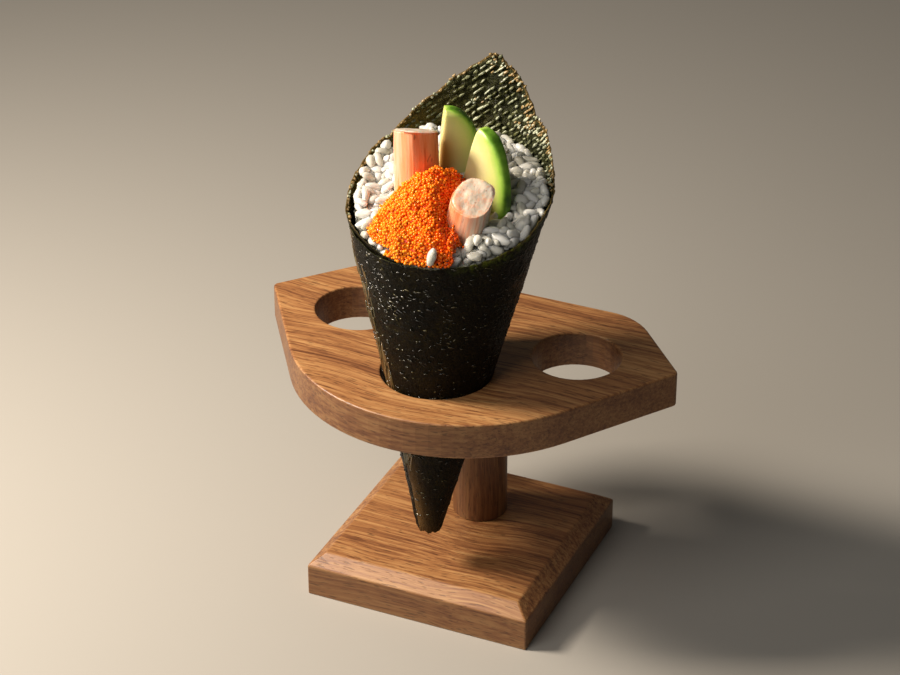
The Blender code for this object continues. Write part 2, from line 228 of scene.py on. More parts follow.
def run_tree(obj, tree, names, values):
    """Runs a geometry tree on obj with these inputs and keeps the plain result."""
    modifier = obj.modifiers.new(tree.name, "NODES")
    modifier.node_group = tree
    for label, value in values.items():
        modifier[names[label]] = value
    return as_plain_mesh(obj)


def search_tree(mesh, place=None):
    """A tree that finds where a ray or a point meets this mesh."""
    points = [place @ vertex.co if place else vertex.co for vertex in mesh.vertices]
    return BVHTree.FromPolygons(points, [face.vertices[:] for face in mesh.polygons])


def node_tree(name):
    """A search tree over a CAD node's surface, in the roll's frame."""
    return search_tree(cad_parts[name].data, ROLL.inverted())


def lump_mesh(segments, rings):
    """A round lump, one across, for a tree to stretch and make uneven."""
    bm = bmesh.new()
    bmesh.ops.create_uvsphere(bm, u_segments=segments, v_segments=rings, radius=0.5)
    mesh = bpy.data.meshes.new("lump")
    bm.to_mesh(mesh)
    bm.free()
    return mesh


def finish_piece(obj, slot, *nodes):
    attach(obj, "root")
    if nodes:
        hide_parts(*nodes)


# ---- materials ------------------------------------------------------------

def walnut(name, fibre_turn):
    """Oiled walnut, planed and sanded: satin, brown, with darker growth lines, fine
    fibres and short open pores along the grain. Its upright sides are painted a darker
    brown than its top, as painted shade."""
    material, tree, shader = new_material(name, Roughness=0.42, IOR=1.5)
    place = add_node(tree, "ShaderNodeTexCoord").outputs["Object"]
    grain = add_node(tree, "ShaderNodeMapping", {"Vector": place, "Rotation": fibre_turn})
    sway = add_node(tree, "ShaderNodeTexNoise", {"Vector": grain, "Scale": 22, "Detail": 1})
    shifted = add_node(tree, "ShaderNodeVectorMath", {0: grain, 1: (0, 0, 0)}, operation="ADD")
    bend = add_node(tree, "ShaderNodeVectorMath",
                    {0: sway.outputs["Color"], 1: (0, 0.010, 0.006)}, operation="MULTIPLY")
    tree.links.new(bend.outputs[0], shifted.inputs[1])

    def stretched(length_mm, width_mm, height_mm, detail, roughness=0.55):
        scale = (1 / (length_mm * MM), 1 / (width_mm * MM), 1 / (height_mm * MM))
        vector = add_node(tree, "ShaderNodeMapping", {"Vector": shifted, "Scale": scale})
        return add_node(tree, "ShaderNodeTexNoise",
                        {"Vector": vector, "Scale": 1, "Detail": detail, "Roughness": roughness})

    bands = stretched(160, 9, 6, 2)
    lines = stretched(55, 1.0, 0.9, 3, 0.55)
    fibres = stretched(10, 0.35, 0.35, 2)
    pores = stretched(4.2, 0.45, 0.45, 1)

    tone = add_node(tree, "ShaderNodeMath", {0: bands, 1: 0.45, 2: -0.06},
                    operation="MULTIPLY_ADD")
    tone = add_node(tree, "ShaderNodeMath", {0: lines, 1: 0.85, 2: tone},
                    operation="MULTIPLY_ADD")
    tone = add_node(tree, "ShaderNodeMath", {0: fibres, 1: 0.28, 2: tone},
                    operation="MULTIPLY_ADD")
    base = add_node(tree, "ShaderNodeValToRGB", {"Fac": tone},
                    stops=[(0.42, "512f1a"), (0.58, "7e5030"), (0.72, "a06e42"),
                           (0.88, "b98a58")])
    dark = add_node(tree, "ShaderNodeValToRGB", {"Fac": pores},
                    stops=[(0.59, 0.0), (0.67, 1.0)])
    # Faces turned away from straight up or down are mixed toward dark brown 4f2d1a, up to 0.55 on upright
    # sides: painted shade.
    facing = add_node(tree, "ShaderNodeSeparateXYZ",
                      {0: add_node(tree, "ShaderNodeNewGeometry").outputs["Normal"]})
    level = add_node(tree, "ShaderNodeMath", {0: facing.outputs[2]}, operation="ABSOLUTE")
    painted_shade_sides = add_node(tree, "ShaderNodeMapRange", {"Value": level, "To Min": 0.55,
                                                  "To Max": 0.0})
    base = add_node(tree, "ShaderNodeMix", {0: painted_shade_sides, 6: base, 7: colour("4f2d1a")},
                    data_type="RGBA").outputs[2]
    mixed = add_node(tree, "ShaderNodeMix", {0: dark, 6: base, 7: colour("3a1f10")},
                     data_type="RGBA")
    strength = add_node(tree, "ShaderNodeMath", {0: dark, 1: 0.55}, operation="MULTIPLY")
    tree.links.new(strength.outputs[0], mixed.inputs[0])
    tree.links.new(mixed.outputs[2], shader.inputs["Base Color"])
    rough = add_node(tree, "ShaderNodeMapRange",
                     {"Value": lines, "To Min": 0.36, "To Max": 0.52})
    tree.links.new(rough.outputs[0], shader.inputs["Roughness"])
    relief = add_node(tree, "ShaderNodeMath", {0: fibres, 1: dark}, operation="SUBTRACT")
    bump = add_node(tree, "ShaderNodeBump", {"Height": relief, "Strength": 0.35,
                                             "Distance": 0.08 * MM})
    tree.links.new(bump.outputs[0], shader.inputs["Normal"])
    return material


def nori(name, rough_side):
    """Toasted seaweed sheet, pressed and dried on a mat: near-black green, semi-matte,
    with tiny shiny wrinkles. Its rough side is drier and greyer. The raised cut edges turn
    olive brown. Painted light: its ridges are lighter as painted highlight, a band along
    the smooth side's seam is tan as painted highlight, and the inside of the peak's left
    part is olive brown as painted light shining through the sheet."""
    material, tree, shader = new_material(name, IOR=1.4, Specular_IOR_Level=0.14)
    flat = add_node(tree, "ShaderNodeUVMap", uv_map="flat")
    relief = add_node(tree, "ShaderNodeAttribute", attribute_name="relief").outputs["Fac"]
    cloud = add_node(tree, "ShaderNodeTexNoise", {"Vector": flat, "Scale": 0.09, "Detail": 3})
    fleck = add_node(tree, "ShaderNodeTexNoise",
                     {"Vector": flat, "Scale": 1.6, "Detail": 5, "Roughness": 0.75})
    # Ridge height lightens the colour: painted highlight on the ridges.
    tone = add_node(tree, "ShaderNodeMath", {0: relief, 1: 0.5, 2: fleck},
                    operation="MULTIPLY_ADD")
    tone = add_node(tree, "ShaderNodeMath", {0: cloud, 1: 0.35, 2: tone},
                    operation="MULTIPLY_ADD")
    if rough_side:
        stops = [(0.45, "0d0e06"), (0.62, "1e200f"), (0.78, "373a1f"), (1.0, "5f6344")]
        # The rough side's painted light: olive brown light shining through the peak's left part.
        painted_light_places, painted_light_colour = "thin", "8f7629"
    else:
        stops = [(0.55, "020201"), (0.70, "0b0a03"), (0.82, "26200a"), (0.95, "4a4016")]
        # The smooth side's painted light: a tan highlight along the seam.
        painted_light_places, painted_light_colour = "painted_light", "7d5c33"
    base = add_node(tree, "ShaderNodeValToRGB", {"Fac": tone}, stops=stops)
    painted_light = add_node(tree, "ShaderNodeAttribute", attribute_name=painted_light_places).outputs["Fac"]
    painted_light = add_node(tree, "ShaderNodeMath", {0: painted_light, 1: tone}, operation="MULTIPLY")
    olive = add_node(tree, "ShaderNodeMix", {0: painted_light, 6: base, 7: colour(painted_light_colour)},
                     data_type="RGBA")
    green = add_node(tree, "ShaderNodeAttribute", attribute_name="green").outputs["Fac"]
    patches = add_node(tree, "ShaderNodeTexNoise", {"Vector": flat, "Scale": 0.55,
                                                    "Detail": 4, "Roughness": 0.7})
    patches = add_node(tree, "ShaderNodeMapRange", {"Value": patches, "From Min": 0.44,
                                                    "From Max": 0.62})
    green = add_node(tree, "ShaderNodeMath", {0: green, 1: patches}, operation="MULTIPLY")
    olive = add_node(tree, "ShaderNodeMix", {0: green, 6: olive.outputs[2],
                                             7: colour("66741c")}, data_type="RGBA")
    edge = add_node(tree, "ShaderNodeAttribute", attribute_name="edge").outputs["Fac"]
    raised = add_node(tree, "ShaderNodeAttribute", attribute_name="ribbed").outputs["Fac"]
    fray = add_node(tree, "ShaderNodeMath", {0: fleck, 1: -3.2, 2: edge},
                    operation="MULTIPLY_ADD")
    rim = add_node(tree, "ShaderNodeMapRange", {"Value": fray, "From Min": -1.2,
                                                "From Max": -0.6, "To Min": 0.8, "To Max": 0.0})
    rim = add_node(tree, "ShaderNodeMath", {0: rim, 1: raised}, operation="MULTIPLY")
    mixed = add_node(tree, "ShaderNodeMix", {0: rim, 6: olive.outputs[2],
                                             7: colour("6f5a30")}, data_type="RGBA")
    tree.links.new(mixed.outputs[2], shader.inputs["Base Color"])
    rough = add_node(tree, "ShaderNodeMapRange", {"Value": fleck, "From Min": 0.3,
                                                  "From Max": 0.7, "To Min": 0.22,
                                                  "To Max": 0.42})
    tree.links.new(rough.outputs[0], shader.inputs["Roughness"])
    stretched = add_node(tree, "ShaderNodeMapping", {"Vector": flat, "Scale": (0.45, 1.1, 1)})
    wrinkle = add_node(tree, "ShaderNodeTexNoise", {"Vector": stretched, "Scale": 1,
                                                    "Detail": 3, "Roughness": 0.6})
    height = add_node(tree, "ShaderNodeMath", {0: wrinkle, 1: 1.2, 2: fleck},
                      operation="MULTIPLY_ADD")
    bump = add_node(tree, "ShaderNodeBump", {"Height": height, "Strength": 1.0,
                                             "Distance": 0.55 * MM})
    tree.links.new(bump.outputs[0], shader.inputs["Normal"])
    return material


def nori_lumps():
    """The sheet's thick places, where folded seaweed stands up dry and shiny: pale
    grey-green, and tan where it frays at a cut edge."""
    material, tree, shader = new_material("nori ridges", Roughness=0.3, IOR=1.45)
    place = add_node(tree, "ShaderNodeTexCoord").outputs["Object"]
    tint = add_node(tree, "ShaderNodeAttribute", attribute_name="tint")
    cloud = add_node(tree, "ShaderNodeTexNoise", {"Vector": place, "Scale": 1400, "Detail": 3})
    tone = add_node(tree, "ShaderNodeMath", {0: cloud, 1: 0.5, 2: tint.outputs["Fac"]},
                    operation="MULTIPLY_ADD")
    # The ridges' tint is partly random and partly painted shade on the side turned from the key light.
    base = add_node(tree, "ShaderNodeValToRGB", {"Fac": tone},
                    stops=[(0.22, "22220f"), (0.45, "55572f"), (0.74, "8f9371"),
                           (1.02, "ccd2ba"), (1.3, "d6dac6"), (1.45, "9c8355")])
    tree.links.new(base.outputs[0], shader.inputs["Base Color"])
    bump = add_node(tree, "ShaderNodeBump", {"Height": cloud, "Strength": 0.8,
                                             "Distance": 0.3 * MM})
    tree.links.new(bump.outputs[0], shader.inputs["Normal"])
    return material


def nori_creases():
    """Creases of the pressed sheet, bone dry and polished by handling: black, with a
    small sharp highlight on each."""
    material, tree, shader = new_material("nori creases", Roughness=0.24, IOR=1.5,
                                          Specular_IOR_Level=0.9)
    tint = add_node(tree, "ShaderNodeAttribute", attribute_name="tint")
    # The tan end of this ramp colours the folds beside the seam: painted highlight of the seam's edge.
    base = add_node(tree, "ShaderNodeValToRGB", {"Fac": tint.outputs["Fac"]},
                    stops=[(0.0, "060603"), (0.4, "25220f"), (0.75, "5c5229"),
                           (1.0, "8a6c44")])
    tree.links.new(base.outputs[0], shader.inputs["Base Color"])
    place = add_node(tree, "ShaderNodeTexCoord").outputs["Object"]
    skin = add_node(tree, "ShaderNodeTexNoise", {"Vector": place, "Scale": 2500, "Detail": 2})
    bump = add_node(tree, "ShaderNodeBump", {"Height": skin, "Strength": 0.5,
                                             "Distance": 0.15 * MM})
    tree.links.new(bump.outputs[0], shader.inputs["Normal"])
    return material


def cooked_rice():
    """Cooked short-grain rice: moist starch, glossy and a little see-through, so its
    edges glow and its hollows stay soft."""
    material, tree, shader = new_material(
        "cooked rice", Roughness=0.24, IOR=1.4, Subsurface_Weight=0.8, Subsurface_Scale=MM,
        Subsurface_Radius=(2.0, 1.9, 1.7))
    place = add_node(tree, "ShaderNodeTexCoord").outputs["Object"]
    tint = add_node(tree, "ShaderNodeAttribute", attribute_name="tint")
    cloud = add_node(tree, "ShaderNodeTexNoise", {"Vector": place, "Scale": 700, "Detail": 2})
    tone = add_node(tree, "ShaderNodeMath", {0: cloud, 1: 0.5, 2: tint.outputs["Fac"]},
                    operation="MULTIPLY_ADD")
    base = add_node(tree, "ShaderNodeValToRGB", {"Fac": tone},
                    stops=[(0.2, "b9b8ac"), (0.6, "cecdc4"), (1.0, "dededa")])
    tree.links.new(base.outputs[0], shader.inputs["Base Color"])
    skin = add_node(tree, "ShaderNodeTexNoise", {"Vector": place, "Scale": 1800, "Detail": 2})
    bump = add_node(tree, "ShaderNodeBump", {"Height": skin, "Strength": 0.25,
                                             "Distance": 0.12 * MM})
    tree.links.new(bump.outputs[0], shader.inputs["Normal"])
    return material


def roe_material():
    """Fresh flying-fish roe: tight wet beads of clear orange gel, so each has a sharp
    highlight, a bright lit side and a deep red-orange shade. Beads are tinted from
    red-orange to yellow, partly at random and partly as painted light, yellower on
    the heap's left where the key light falls."""
    material, tree, shader = new_material(
        "fresh roe", Roughness=0.16, IOR=1.38)
    tint = add_node(tree, "ShaderNodeAttribute", attribute_name="tint")
    base = add_node(tree, "ShaderNodeValToRGB", {"Fac": tint.outputs["Fac"]},
                    stops=[(0.0, "ff5410"), (0.5, "ff7c14"), (1.0, "ffa826")])
    tree.links.new(base.outputs[0], shader.inputs["Base Color"])
    return material


def surimi(name, foot, top):
    """Steamed fish-paste stick, rolled from thin sheets: white moist fibres along it
    under a skin dyed orange-red in uneven streaks."""
    material, tree, shader = new_material(
        name, Roughness=0.34, IOR=1.4, Subsurface_Weight=0.4, Subsurface_Scale=MM,
        Subsurface_Radius=(2.2, 1.1, 0.8))
    place = add_node(tree, "ShaderNodeTexCoord").outputs["Object"]
    axis = (ROLL.to_3x3() @ (top - foot)).normalized()
    turn = axis.to_track_quat("Z", "Y").inverted().to_euler()
    along = add_node(tree, "ShaderNodeMapping", {"Vector": place, "Rotation": turn})
    fine = add_node(tree, "ShaderNodeMapping", {"Vector": along, "Scale": (1500, 1500, 90)})
    broad = add_node(tree, "ShaderNodeMapping", {"Vector": along, "Scale": (620, 620, 70)})
    fibres = add_node(tree, "ShaderNodeTexNoise", {"Vector": fine, "Scale": 1, "Detail": 3})
    streaks = add_node(tree, "ShaderNodeTexNoise", {"Vector": broad, "Scale": 1, "Detail": 3,
                                                    "Roughness": 0.5})
    dye = add_node(tree, "ShaderNodeAttribute", attribute_name="dye")
    strength = add_node(tree, "ShaderNodeMath", {0: streaks, 1: 1.1, 2: -0.68},
                        operation="MULTIPLY_ADD")
    strength = add_node(tree, "ShaderNodeMath", {0: fibres, 1: 0.45, 2: strength},
                        operation="MULTIPLY_ADD")
    strength = add_node(tree, "ShaderNodeMath", {0: dye.outputs["Fac"], 1: strength},
                        operation="ADD")
    base = add_node(tree, "ShaderNodeValToRGB", {"Fac": strength},
                    stops=[(0.12, "d9c9b6"), (0.34, "e6b89b"), (0.58, "efa57b"),
                           (0.84, "e88a56"), (1.05, "cc5c30")])
    spotted = add_node(tree, "ShaderNodeMapping", {"Vector": along, "Scale": (900, 900, 300)})
    spots = add_node(tree, "ShaderNodeTexNoise", {"Vector": spotted, "Scale": 1, "Detail": 1})
    spots = add_node(tree, "ShaderNodeMapRange", {"Value": spots, "From Min": 0.70,
                                                  "From Max": 0.76, "To Max": 0.6})
    base = add_node(tree, "ShaderNodeMix", {0: spots, 6: base, 7: colour("8a4a2c")},
                    data_type="RGBA").outputs[2]
    tree.links.new(base, shader.inputs["Base Color"])
    bump = add_node(tree, "ShaderNodeBump", {"Height": fibres, "Strength": 0.5,
                                             "Distance": 0.25 * MM})
    tree.links.new(bump.outputs[0], shader.inputs["Normal"])
    return material


def avocado_flesh(name):
    """Ripe avocado, cut with a knife: buttery yellow flesh that turns green, then dark
    green, in the last millimetres under the peeled skin."""
    material, tree, shader = new_material(
        name, Roughness=0.38, IOR=1.45, Subsurface_Weight=0.4, Subsurface_Scale=MM,
        Subsurface_Radius=(1.6, 1.6, 0.8))
    place = add_node(tree, "ShaderNodeTexCoord").outputs["Object"]
    depth = add_node(tree, "ShaderNodeAttribute", attribute_name="skin_depth")
    cloud = add_node(tree, "ShaderNodeTexNoise", {"Vector": place, "Scale": 260, "Detail": 4})
    deep = add_node(tree, "ShaderNodeMath", {0: cloud, 1: 2.4, 2: depth.outputs["Fac"]},
                    operation="MULTIPLY_ADD")
    share = add_node(tree, "ShaderNodeMapRange", {"Value": deep, "From Min": 0.8,
                                                  "From Max": 12})
    base = add_node(tree, "ShaderNodeValToRGB", {"Fac": share},
                    stops=[(0.0, "3d6812"), (0.05, "6c9e2a"), (0.15, "a6cb54"),
                           (0.36, "c9d17c"), (0.75, "dcd496")])
    # A golden-brown patch, b47c1e: painted shadow of the tall crab stick with its painted orange
    # reflection.
    painted_shadow_bounce = add_node(tree, "ShaderNodeAttribute", attribute_name="painted_shadow_bounce")
    mixed = add_node(tree, "ShaderNodeMix", {0: painted_shadow_bounce.outputs["Fac"], 6: base,
                                             7: colour("b47c1e")}, data_type="RGBA")
    tree.links.new(mixed.outputs[2], shader.inputs["Base Color"])
    grit = add_node(tree, "ShaderNodeTexNoise", {"Vector": place, "Scale": 1500, "Detail": 3})
    bump = add_node(tree, "ShaderNodeBump", {"Height": grit, "Strength": 0.3,
                                             "Distance": 0.12 * MM})
    tree.links.new(bump.outputs[0], shader.inputs["Normal"])
    return material


# ---- nori -----------------------------------------------------------------

def on_cone(turn, slant, depth):
    across = slant * math.sin(HALF_ANGLE) - depth * math.cos(HALF_ANGLE)
    height = slant * math.cos(HALF_ANGLE) + depth * math.sin(HALF_ANGLE)
    return Vector((across * math.sin(turn), -across * math.cos(turn), height))


def sheet_rim(turn):
    """Slant of the sheet's two straight edges, which meet in the raised corner."""
    unrolled = abs(turn - NORI_CORNER) * math.sin(HALF_ANGLE)
    slant = NORI_EDGE_REACH / math.cos(unrolled - NORI_EDGE_TURN)
    arc = turn * slant * math.sin(HALF_ANGLE)
    for place, depth, width in NORI_DIPS:
        slant -= depth * math.exp(-((turn - place) / width) ** 2)
    raised = smooth_step(slant, 118, 130)
    wavy = (0.35 + 0.55 * raised) * ripple(arc, 3.1, size=6)
    frayed = (0.25 + 0.55 * raised) * ripple(arc, 8.2, size=2.0) \
        + (0.15 + 0.25 * raised) * ripple(arc, 5.7, size=1.1)
    return slant + wavy + frayed


def sheet_tip(turn):
    return (NORI_TIP_SLANT + 1.2 * ripple(turn * 2.5, 0, 7.7)
            + 0.7 * ripple(turn * 9, 4.4, 2.1))


def flat_place(turn, slant):
    """Where a point of the roll lies on the sheet before it is rolled, along and
    away from the edge that the mat's lines run with."""
    unrolled = (turn - NORI_CORNER) * math.sin(HALF_ANGLE) - NORI_EDGE_TURN
    return slant * math.sin(unrolled), slant * math.cos(unrolled)


def sheet_surface():
    """The rolled sheet as one smooth surface, with its flat layout, the distance to its
    nearest edge, how freely it can wave, and its painted light: light shining through the
    peak's left part, and light caught along the seam."""
    columns_before = 176
    columns_after = 134
    coarse_rows = 34
    fine_rows = 112
    fine_from = 83                      # slant of the plate's top, in millimetres
    shares = [(step / columns_before) ** 0.72 for step in range(columns_before)]
    shares += [1 + (step / columns_after) ** 1.4 for step in range(columns_after + 1)]
    columns = []
    flat = []
    edge = []
    slack = []
    ribbed = []
    thin = []
    painted_light = []
    green = []
    for share in shares:
        if share < 1:
            rough_turn = NORI_SEAM_TOP + (NORI_CORNER - NORI_SEAM_TOP) * share
        else:
            rough_turn = NORI_CORNER + (NORI_END - NORI_CORNER) * (share - 1)
        low = sheet_tip(rough_turn)
        high = sheet_rim(rough_turn)
        column = []
        for row in range(coarse_rows + fine_rows + 1):
            if row < coarse_rows:
                slant = low + (fine_from - low) * row / coarse_rows
            else:
                rise = (row - coarse_rows) / fine_rows
                slant = fine_from + (high - fine_from) * rise ** 0.8
            climb = (slant - low) / (high - low)
            seam = seam_turn(climb)
            turn = seam + (NORI_CORNER - seam) * share if share < 1 else rough_turn
            depth = NORI_LAYER_STEP * smooth_step(turn, NORI_TUCK_START, NORI_TUCK_END)
            along, away = flat_place(turn, slant)
            column.append(on_cone(turn, slant, depth))
            flat.append((along, away, 0))
            from_seam = (turn - seam) * slant * math.sin(HALF_ANGLE)
            edge.append(min(high - slant, slant - low, from_seam))
            slack.append(smooth_step(slant, 84, 118))
            ribbed.append(smooth_step(slant, 119, 130))
            # off and thin mark the inside of the peak's left part, painted olive brown: painted light
            # shining through the sheet.
            off = math.hypot((turn - math.radians(222)) / math.radians(42), (slant - 126) / 16)
            # by_seam is a band along the seam, painted tan: painted highlight where the seam's edge
            # catches the light.
            by_seam = 0.9 * math.exp(-(from_seam / 3.2) ** 2)
            by_rim = math.exp(-((high - slant) / 2.4) ** 2) * max(0, math.sin(2 * turn)) \
                if 0 < turn < math.pi / 2 else 0
            thin.append(math.exp(-off ** 2))
            painted_light.append(max(by_seam, 0.12 * thin[-1]))
            green.append(by_rim)
        columns.append(column)
    mesh = mesh_of_rings(columns, capped=False, closed=False)
    uv = mesh.uv_layers.new(name="flat")
    corners = np.zeros(len(mesh.loops), np.int32)
    mesh.loops.foreach_get("vertex_index", corners)
    uv.data.foreach_set("uv", np.array(flat, np.float32)[corners, :2].ravel())
    store(mesh, "flat_place", flat, "FLOAT_VECTOR")
    store(mesh, "edge", edge)
    store(mesh, "slack", slack)
    store(mesh, "ribbed", ribbed)
    store(mesh, "thin", thin)
    store(mesh, "painted_light", painted_light)
    store(mesh, "green", green)
    return mesh


def crinkle_tree():
    """Raises the crumples, the mat's broken ribs and a fine grit on a sheet."""
    tree, names, given, result = new_tree("crinkled nori", {
        "Wave height": "Float", "Wave size": "Float", "Rib height": "Float",
        "Rib spacing": "Float", "Grit height": "Float", "Grit size": "Float"})
    flat = add_node(tree, "GeometryNodeInputNamedAttribute", {"Name": "flat_place"},
                    data_type="FLOAT_VECTOR").outputs[0]
    slack = add_node(tree, "GeometryNodeInputNamedAttribute", {"Name": "slack"},
                     data_type="FLOAT").outputs[0]

    def lumps(size, detail, shift):
        moved = add_node(tree, "ShaderNodeVectorMath", {0: flat, 1: shift}, operation="ADD")
        shrunk = add_node(tree, "ShaderNodeVectorMath", {0: moved}, operation="SCALE")
        inverse = add_node(tree, "ShaderNodeMath", {0: 1.0, 1: size}, operation="DIVIDE")
        tree.links.new(inverse.outputs[0], shrunk.inputs["Scale"])
        texture = add_node(tree, "ShaderNodeTexNoise", {"Vector": shrunk, "Scale": 1,
                                                        "Detail": detail})
        return add_node(tree, "ShaderNodeMath", {0: texture, 1: 0.5}, operation="SUBTRACT")

    def times(first, second):
        return add_node(tree, "ShaderNodeMath", {0: first, 1: second}, operation="MULTIPLY")

    waves = times(lumps(given.outputs["Wave size"], 1, (31, 7, 0)), given.outputs["Wave height"])
    waves = times(waves, slack)
    grit = times(lumps(given.outputs["Grit size"], 3, (5, 53, 0)), given.outputs["Grit height"])

    split = add_node(tree, "ShaderNodeSeparateXYZ", {0: flat})
    sway = lumps(given.outputs["Rib spacing"], 2, (0, 0, 0))
    lines = add_node(tree, "ShaderNodeMath", {0: split.outputs[1],
                                              1: given.outputs["Rib spacing"]},
                     operation="DIVIDE")
    lines = add_node(tree, "ShaderNodeMath", {0: sway, 1: 0.9, 2: lines},
                     operation="MULTIPLY_ADD")
    angle = times(lines, 2 * math.pi)
    ribs = add_node(tree, "ShaderNodeMath", {0: angle}, operation="SINE")
    broken = lumps(given.outputs["Rib spacing"], 1, (17, 3, 0))
    broken = add_node(tree, "ShaderNodeMapRange", {"Value": broken, "From Min": -0.12,
                                                   "From Max": 0.15})
    ribs = times(times(ribs, broken), given.outputs["Rib height"])
    ribbed = add_node(tree, "GeometryNodeInputNamedAttribute", {"Name": "ribbed"},
                      data_type="FLOAT")
    ribs = times(ribs, ribbed)

    total = add_node(tree, "ShaderNodeMath", {0: waves, 1: grit}, operation="ADD")
    total = add_node(tree, "ShaderNodeMath", {0: total, 1: ribs}, operation="ADD")
    offset = add_node(tree, "ShaderNodeVectorMath",
                      {0: add_node(tree, "GeometryNodeInputNormal")}, operation="SCALE")
    tree.links.new(total.outputs[0], offset.inputs["Scale"])
    detail = add_node(tree, "ShaderNodeMath", {0: grit, 1: ribs}, operation="ADD")
    kept = add_node(tree, "GeometryNodeStoreNamedAttribute",
                    {"Geometry": given.outputs["Geometry"], "Name": "relief",
                     "Value": detail}, data_type="FLOAT", domain="POINT")
    moved = add_node(tree, "GeometryNodeSetPosition", {"Geometry": kept, "Offset": offset})
    tree.links.new(moved.outputs[0], result.inputs[0])
    return tree, names


def add_nori(smooth_side, rough_side):
    sheet = link_object("nori_sheet", sheet_surface(), rough_side, smooth_side)
    tree, names = crinkle_tree()
    run_tree(sheet, tree, names, {
        "Wave height": 2.2, "Wave size": 15.0, "Rib height": 0.25, "Rib spacing": 2.1,
        "Grit height": 0.9, "Grit size": 1.7})
    wall = sheet.modifiers.new("thickness", "SOLIDIFY")
    wall.thickness = NORI_THICKNESS
    wall.offset = -1
    wall.material_offset = 1
    wall.material_offset_rim = 0
    as_plain_mesh(sheet)
    face_outward(sheet.data)
    both_sides = search_tree(sheet.data)
    sheet.data.transform(ROLL)
    sheet.data.shade_smooth()
    finish_piece(sheet, "nori", "nori_wrap")
    return both_sides


def turn_and_slant(along, away):
    """Where a place of the flat sheet lies on the rolled one."""
    unrolled = math.atan2(along, away) + NORI_EDGE_TURN
    return NORI_CORNER + unrolled / math.sin(HALF_ANGLE), math.hypot(along, away)


def inner_ridges(inner):
    """Broken rows of ridges on the sheet's inside above the rice, in line with its
    left edge, and finer lumps in its frosted patches: places, turns, sizes, tints."""
    random = np.random.default_rng(23)
    row_spacing = 1.6
    step = 2.3
    longest_lump = 1.2
    ridges = []
    for row in range(28):
        for place in range(-52, 24):
            along = (place + 0.5 * (row % 2)) * step + random.uniform(-0.7, 0.7)
            away = NORI_EDGE_REACH - 0.6 - row * row_spacing + random.uniform(-0.22, 0.22)
            size = random.uniform((longest_lump, 0.6, 0.6), (2.9, 0.95, 1.0))
            ridges.append((along, away, size, random.uniform(0.15, 1.0)))
    for _ in range(4200):
        along, away = random.uniform((-118, 72), (54, NORI_EDGE_REACH))
        size = random.uniform((0.6, 0.4, 0.35), (longest_lump, 0.8, 0.8))
        ridges.append((along, away, size, random.uniform(0.3, 1.0)))
    kept = []
    for along, away, size, tint in ridges:
        skipped = random.uniform() < 0.15
        turn, slant = turn_and_slant(along, away)
        if skipped or not (math.radians(70) < turn < math.radians(262)):
            continue
        to_edge = sheet_rim(turn) - slant
        if slant < 121 or to_edge < 0.6:
            continue
        clump = ripple(along, away, 4, size=7)
        right_edge = smooth_step(NORI_CORNER + 0.06 - turn, 0, 0.05) * math.exp(-to_edge / 6)
        frost = smooth_step(ripple(along, away, 8.1, size=9) + 1.3 * right_edge, 0.1, 0.8)
        if clump < -0.5 or (size[0] < longest_lump and frost < 0.45):
            continue
        # Ridges turned from the key light get a lower, darker tint, as painted shade, and are made lower.
        lit = smooth_step(-turn, math.radians(-215), math.radians(-160))
        height = size[2] * (0.5 + 0.5 * lit)
        kept.append(ridge_on(inner, turn, slant, along, away, (size[0], size[1], height),
                             (0.62 * tint + 0.38 * frost) * (0.25 + 0.75 * lit)))
    return kept


def edge_fray(inner):
    """Small frayed bits along the raised cut edges."""
    random = np.random.default_rng(31)
    bits = []
    turn = math.radians(88)
    while turn < math.radians(285):
        slant = sheet_rim(turn) - random.uniform(-0.3, 0.9)
        along, away = flat_place(turn, slant)
        size = random.uniform((0.7, 0.5, 0.4), (1.7, 0.9, 0.8))
        bits.append(ridge_on(inner, turn, slant, along, away, tuple(size),
                             random.uniform(0.4, 1.5)))
        turn += random.uniform(0.4, 1.7) / (slant * math.sin(HALF_ANGLE))
    return bits


def seam_turn(climb):
    """Where the sheet's outer edge crosses the roll, by the share of its height."""
    return NORI_SEAM_TIP + (NORI_SEAM_TOP - NORI_SEAM_TIP) * min(1, climb * 1.15)


def crease_on(outer, turn, slant, lean, size, tint):
    """A crease on the sheet's outside, turned by lean from lying level, or None."""
    outside = on_cone(turn, slant, -4)
    inward = (on_cone(turn, slant, 0) - outside).normalized()
    hit = outer.ray_cast(outside, inward)[0]
    if hit is None:
        return None
    ahead = on_cone(turn + 0.01, slant, -4) - outside
    ahead = Matrix.Rotation(lean, 3, inward) @ ahead.normalized()
    across = ahead.cross(inward).normalized()
    turned = Matrix((ahead, across, across.cross(ahead) * -1)).transposed()
    return hit, turned.to_quaternion(), tuple(size), tint


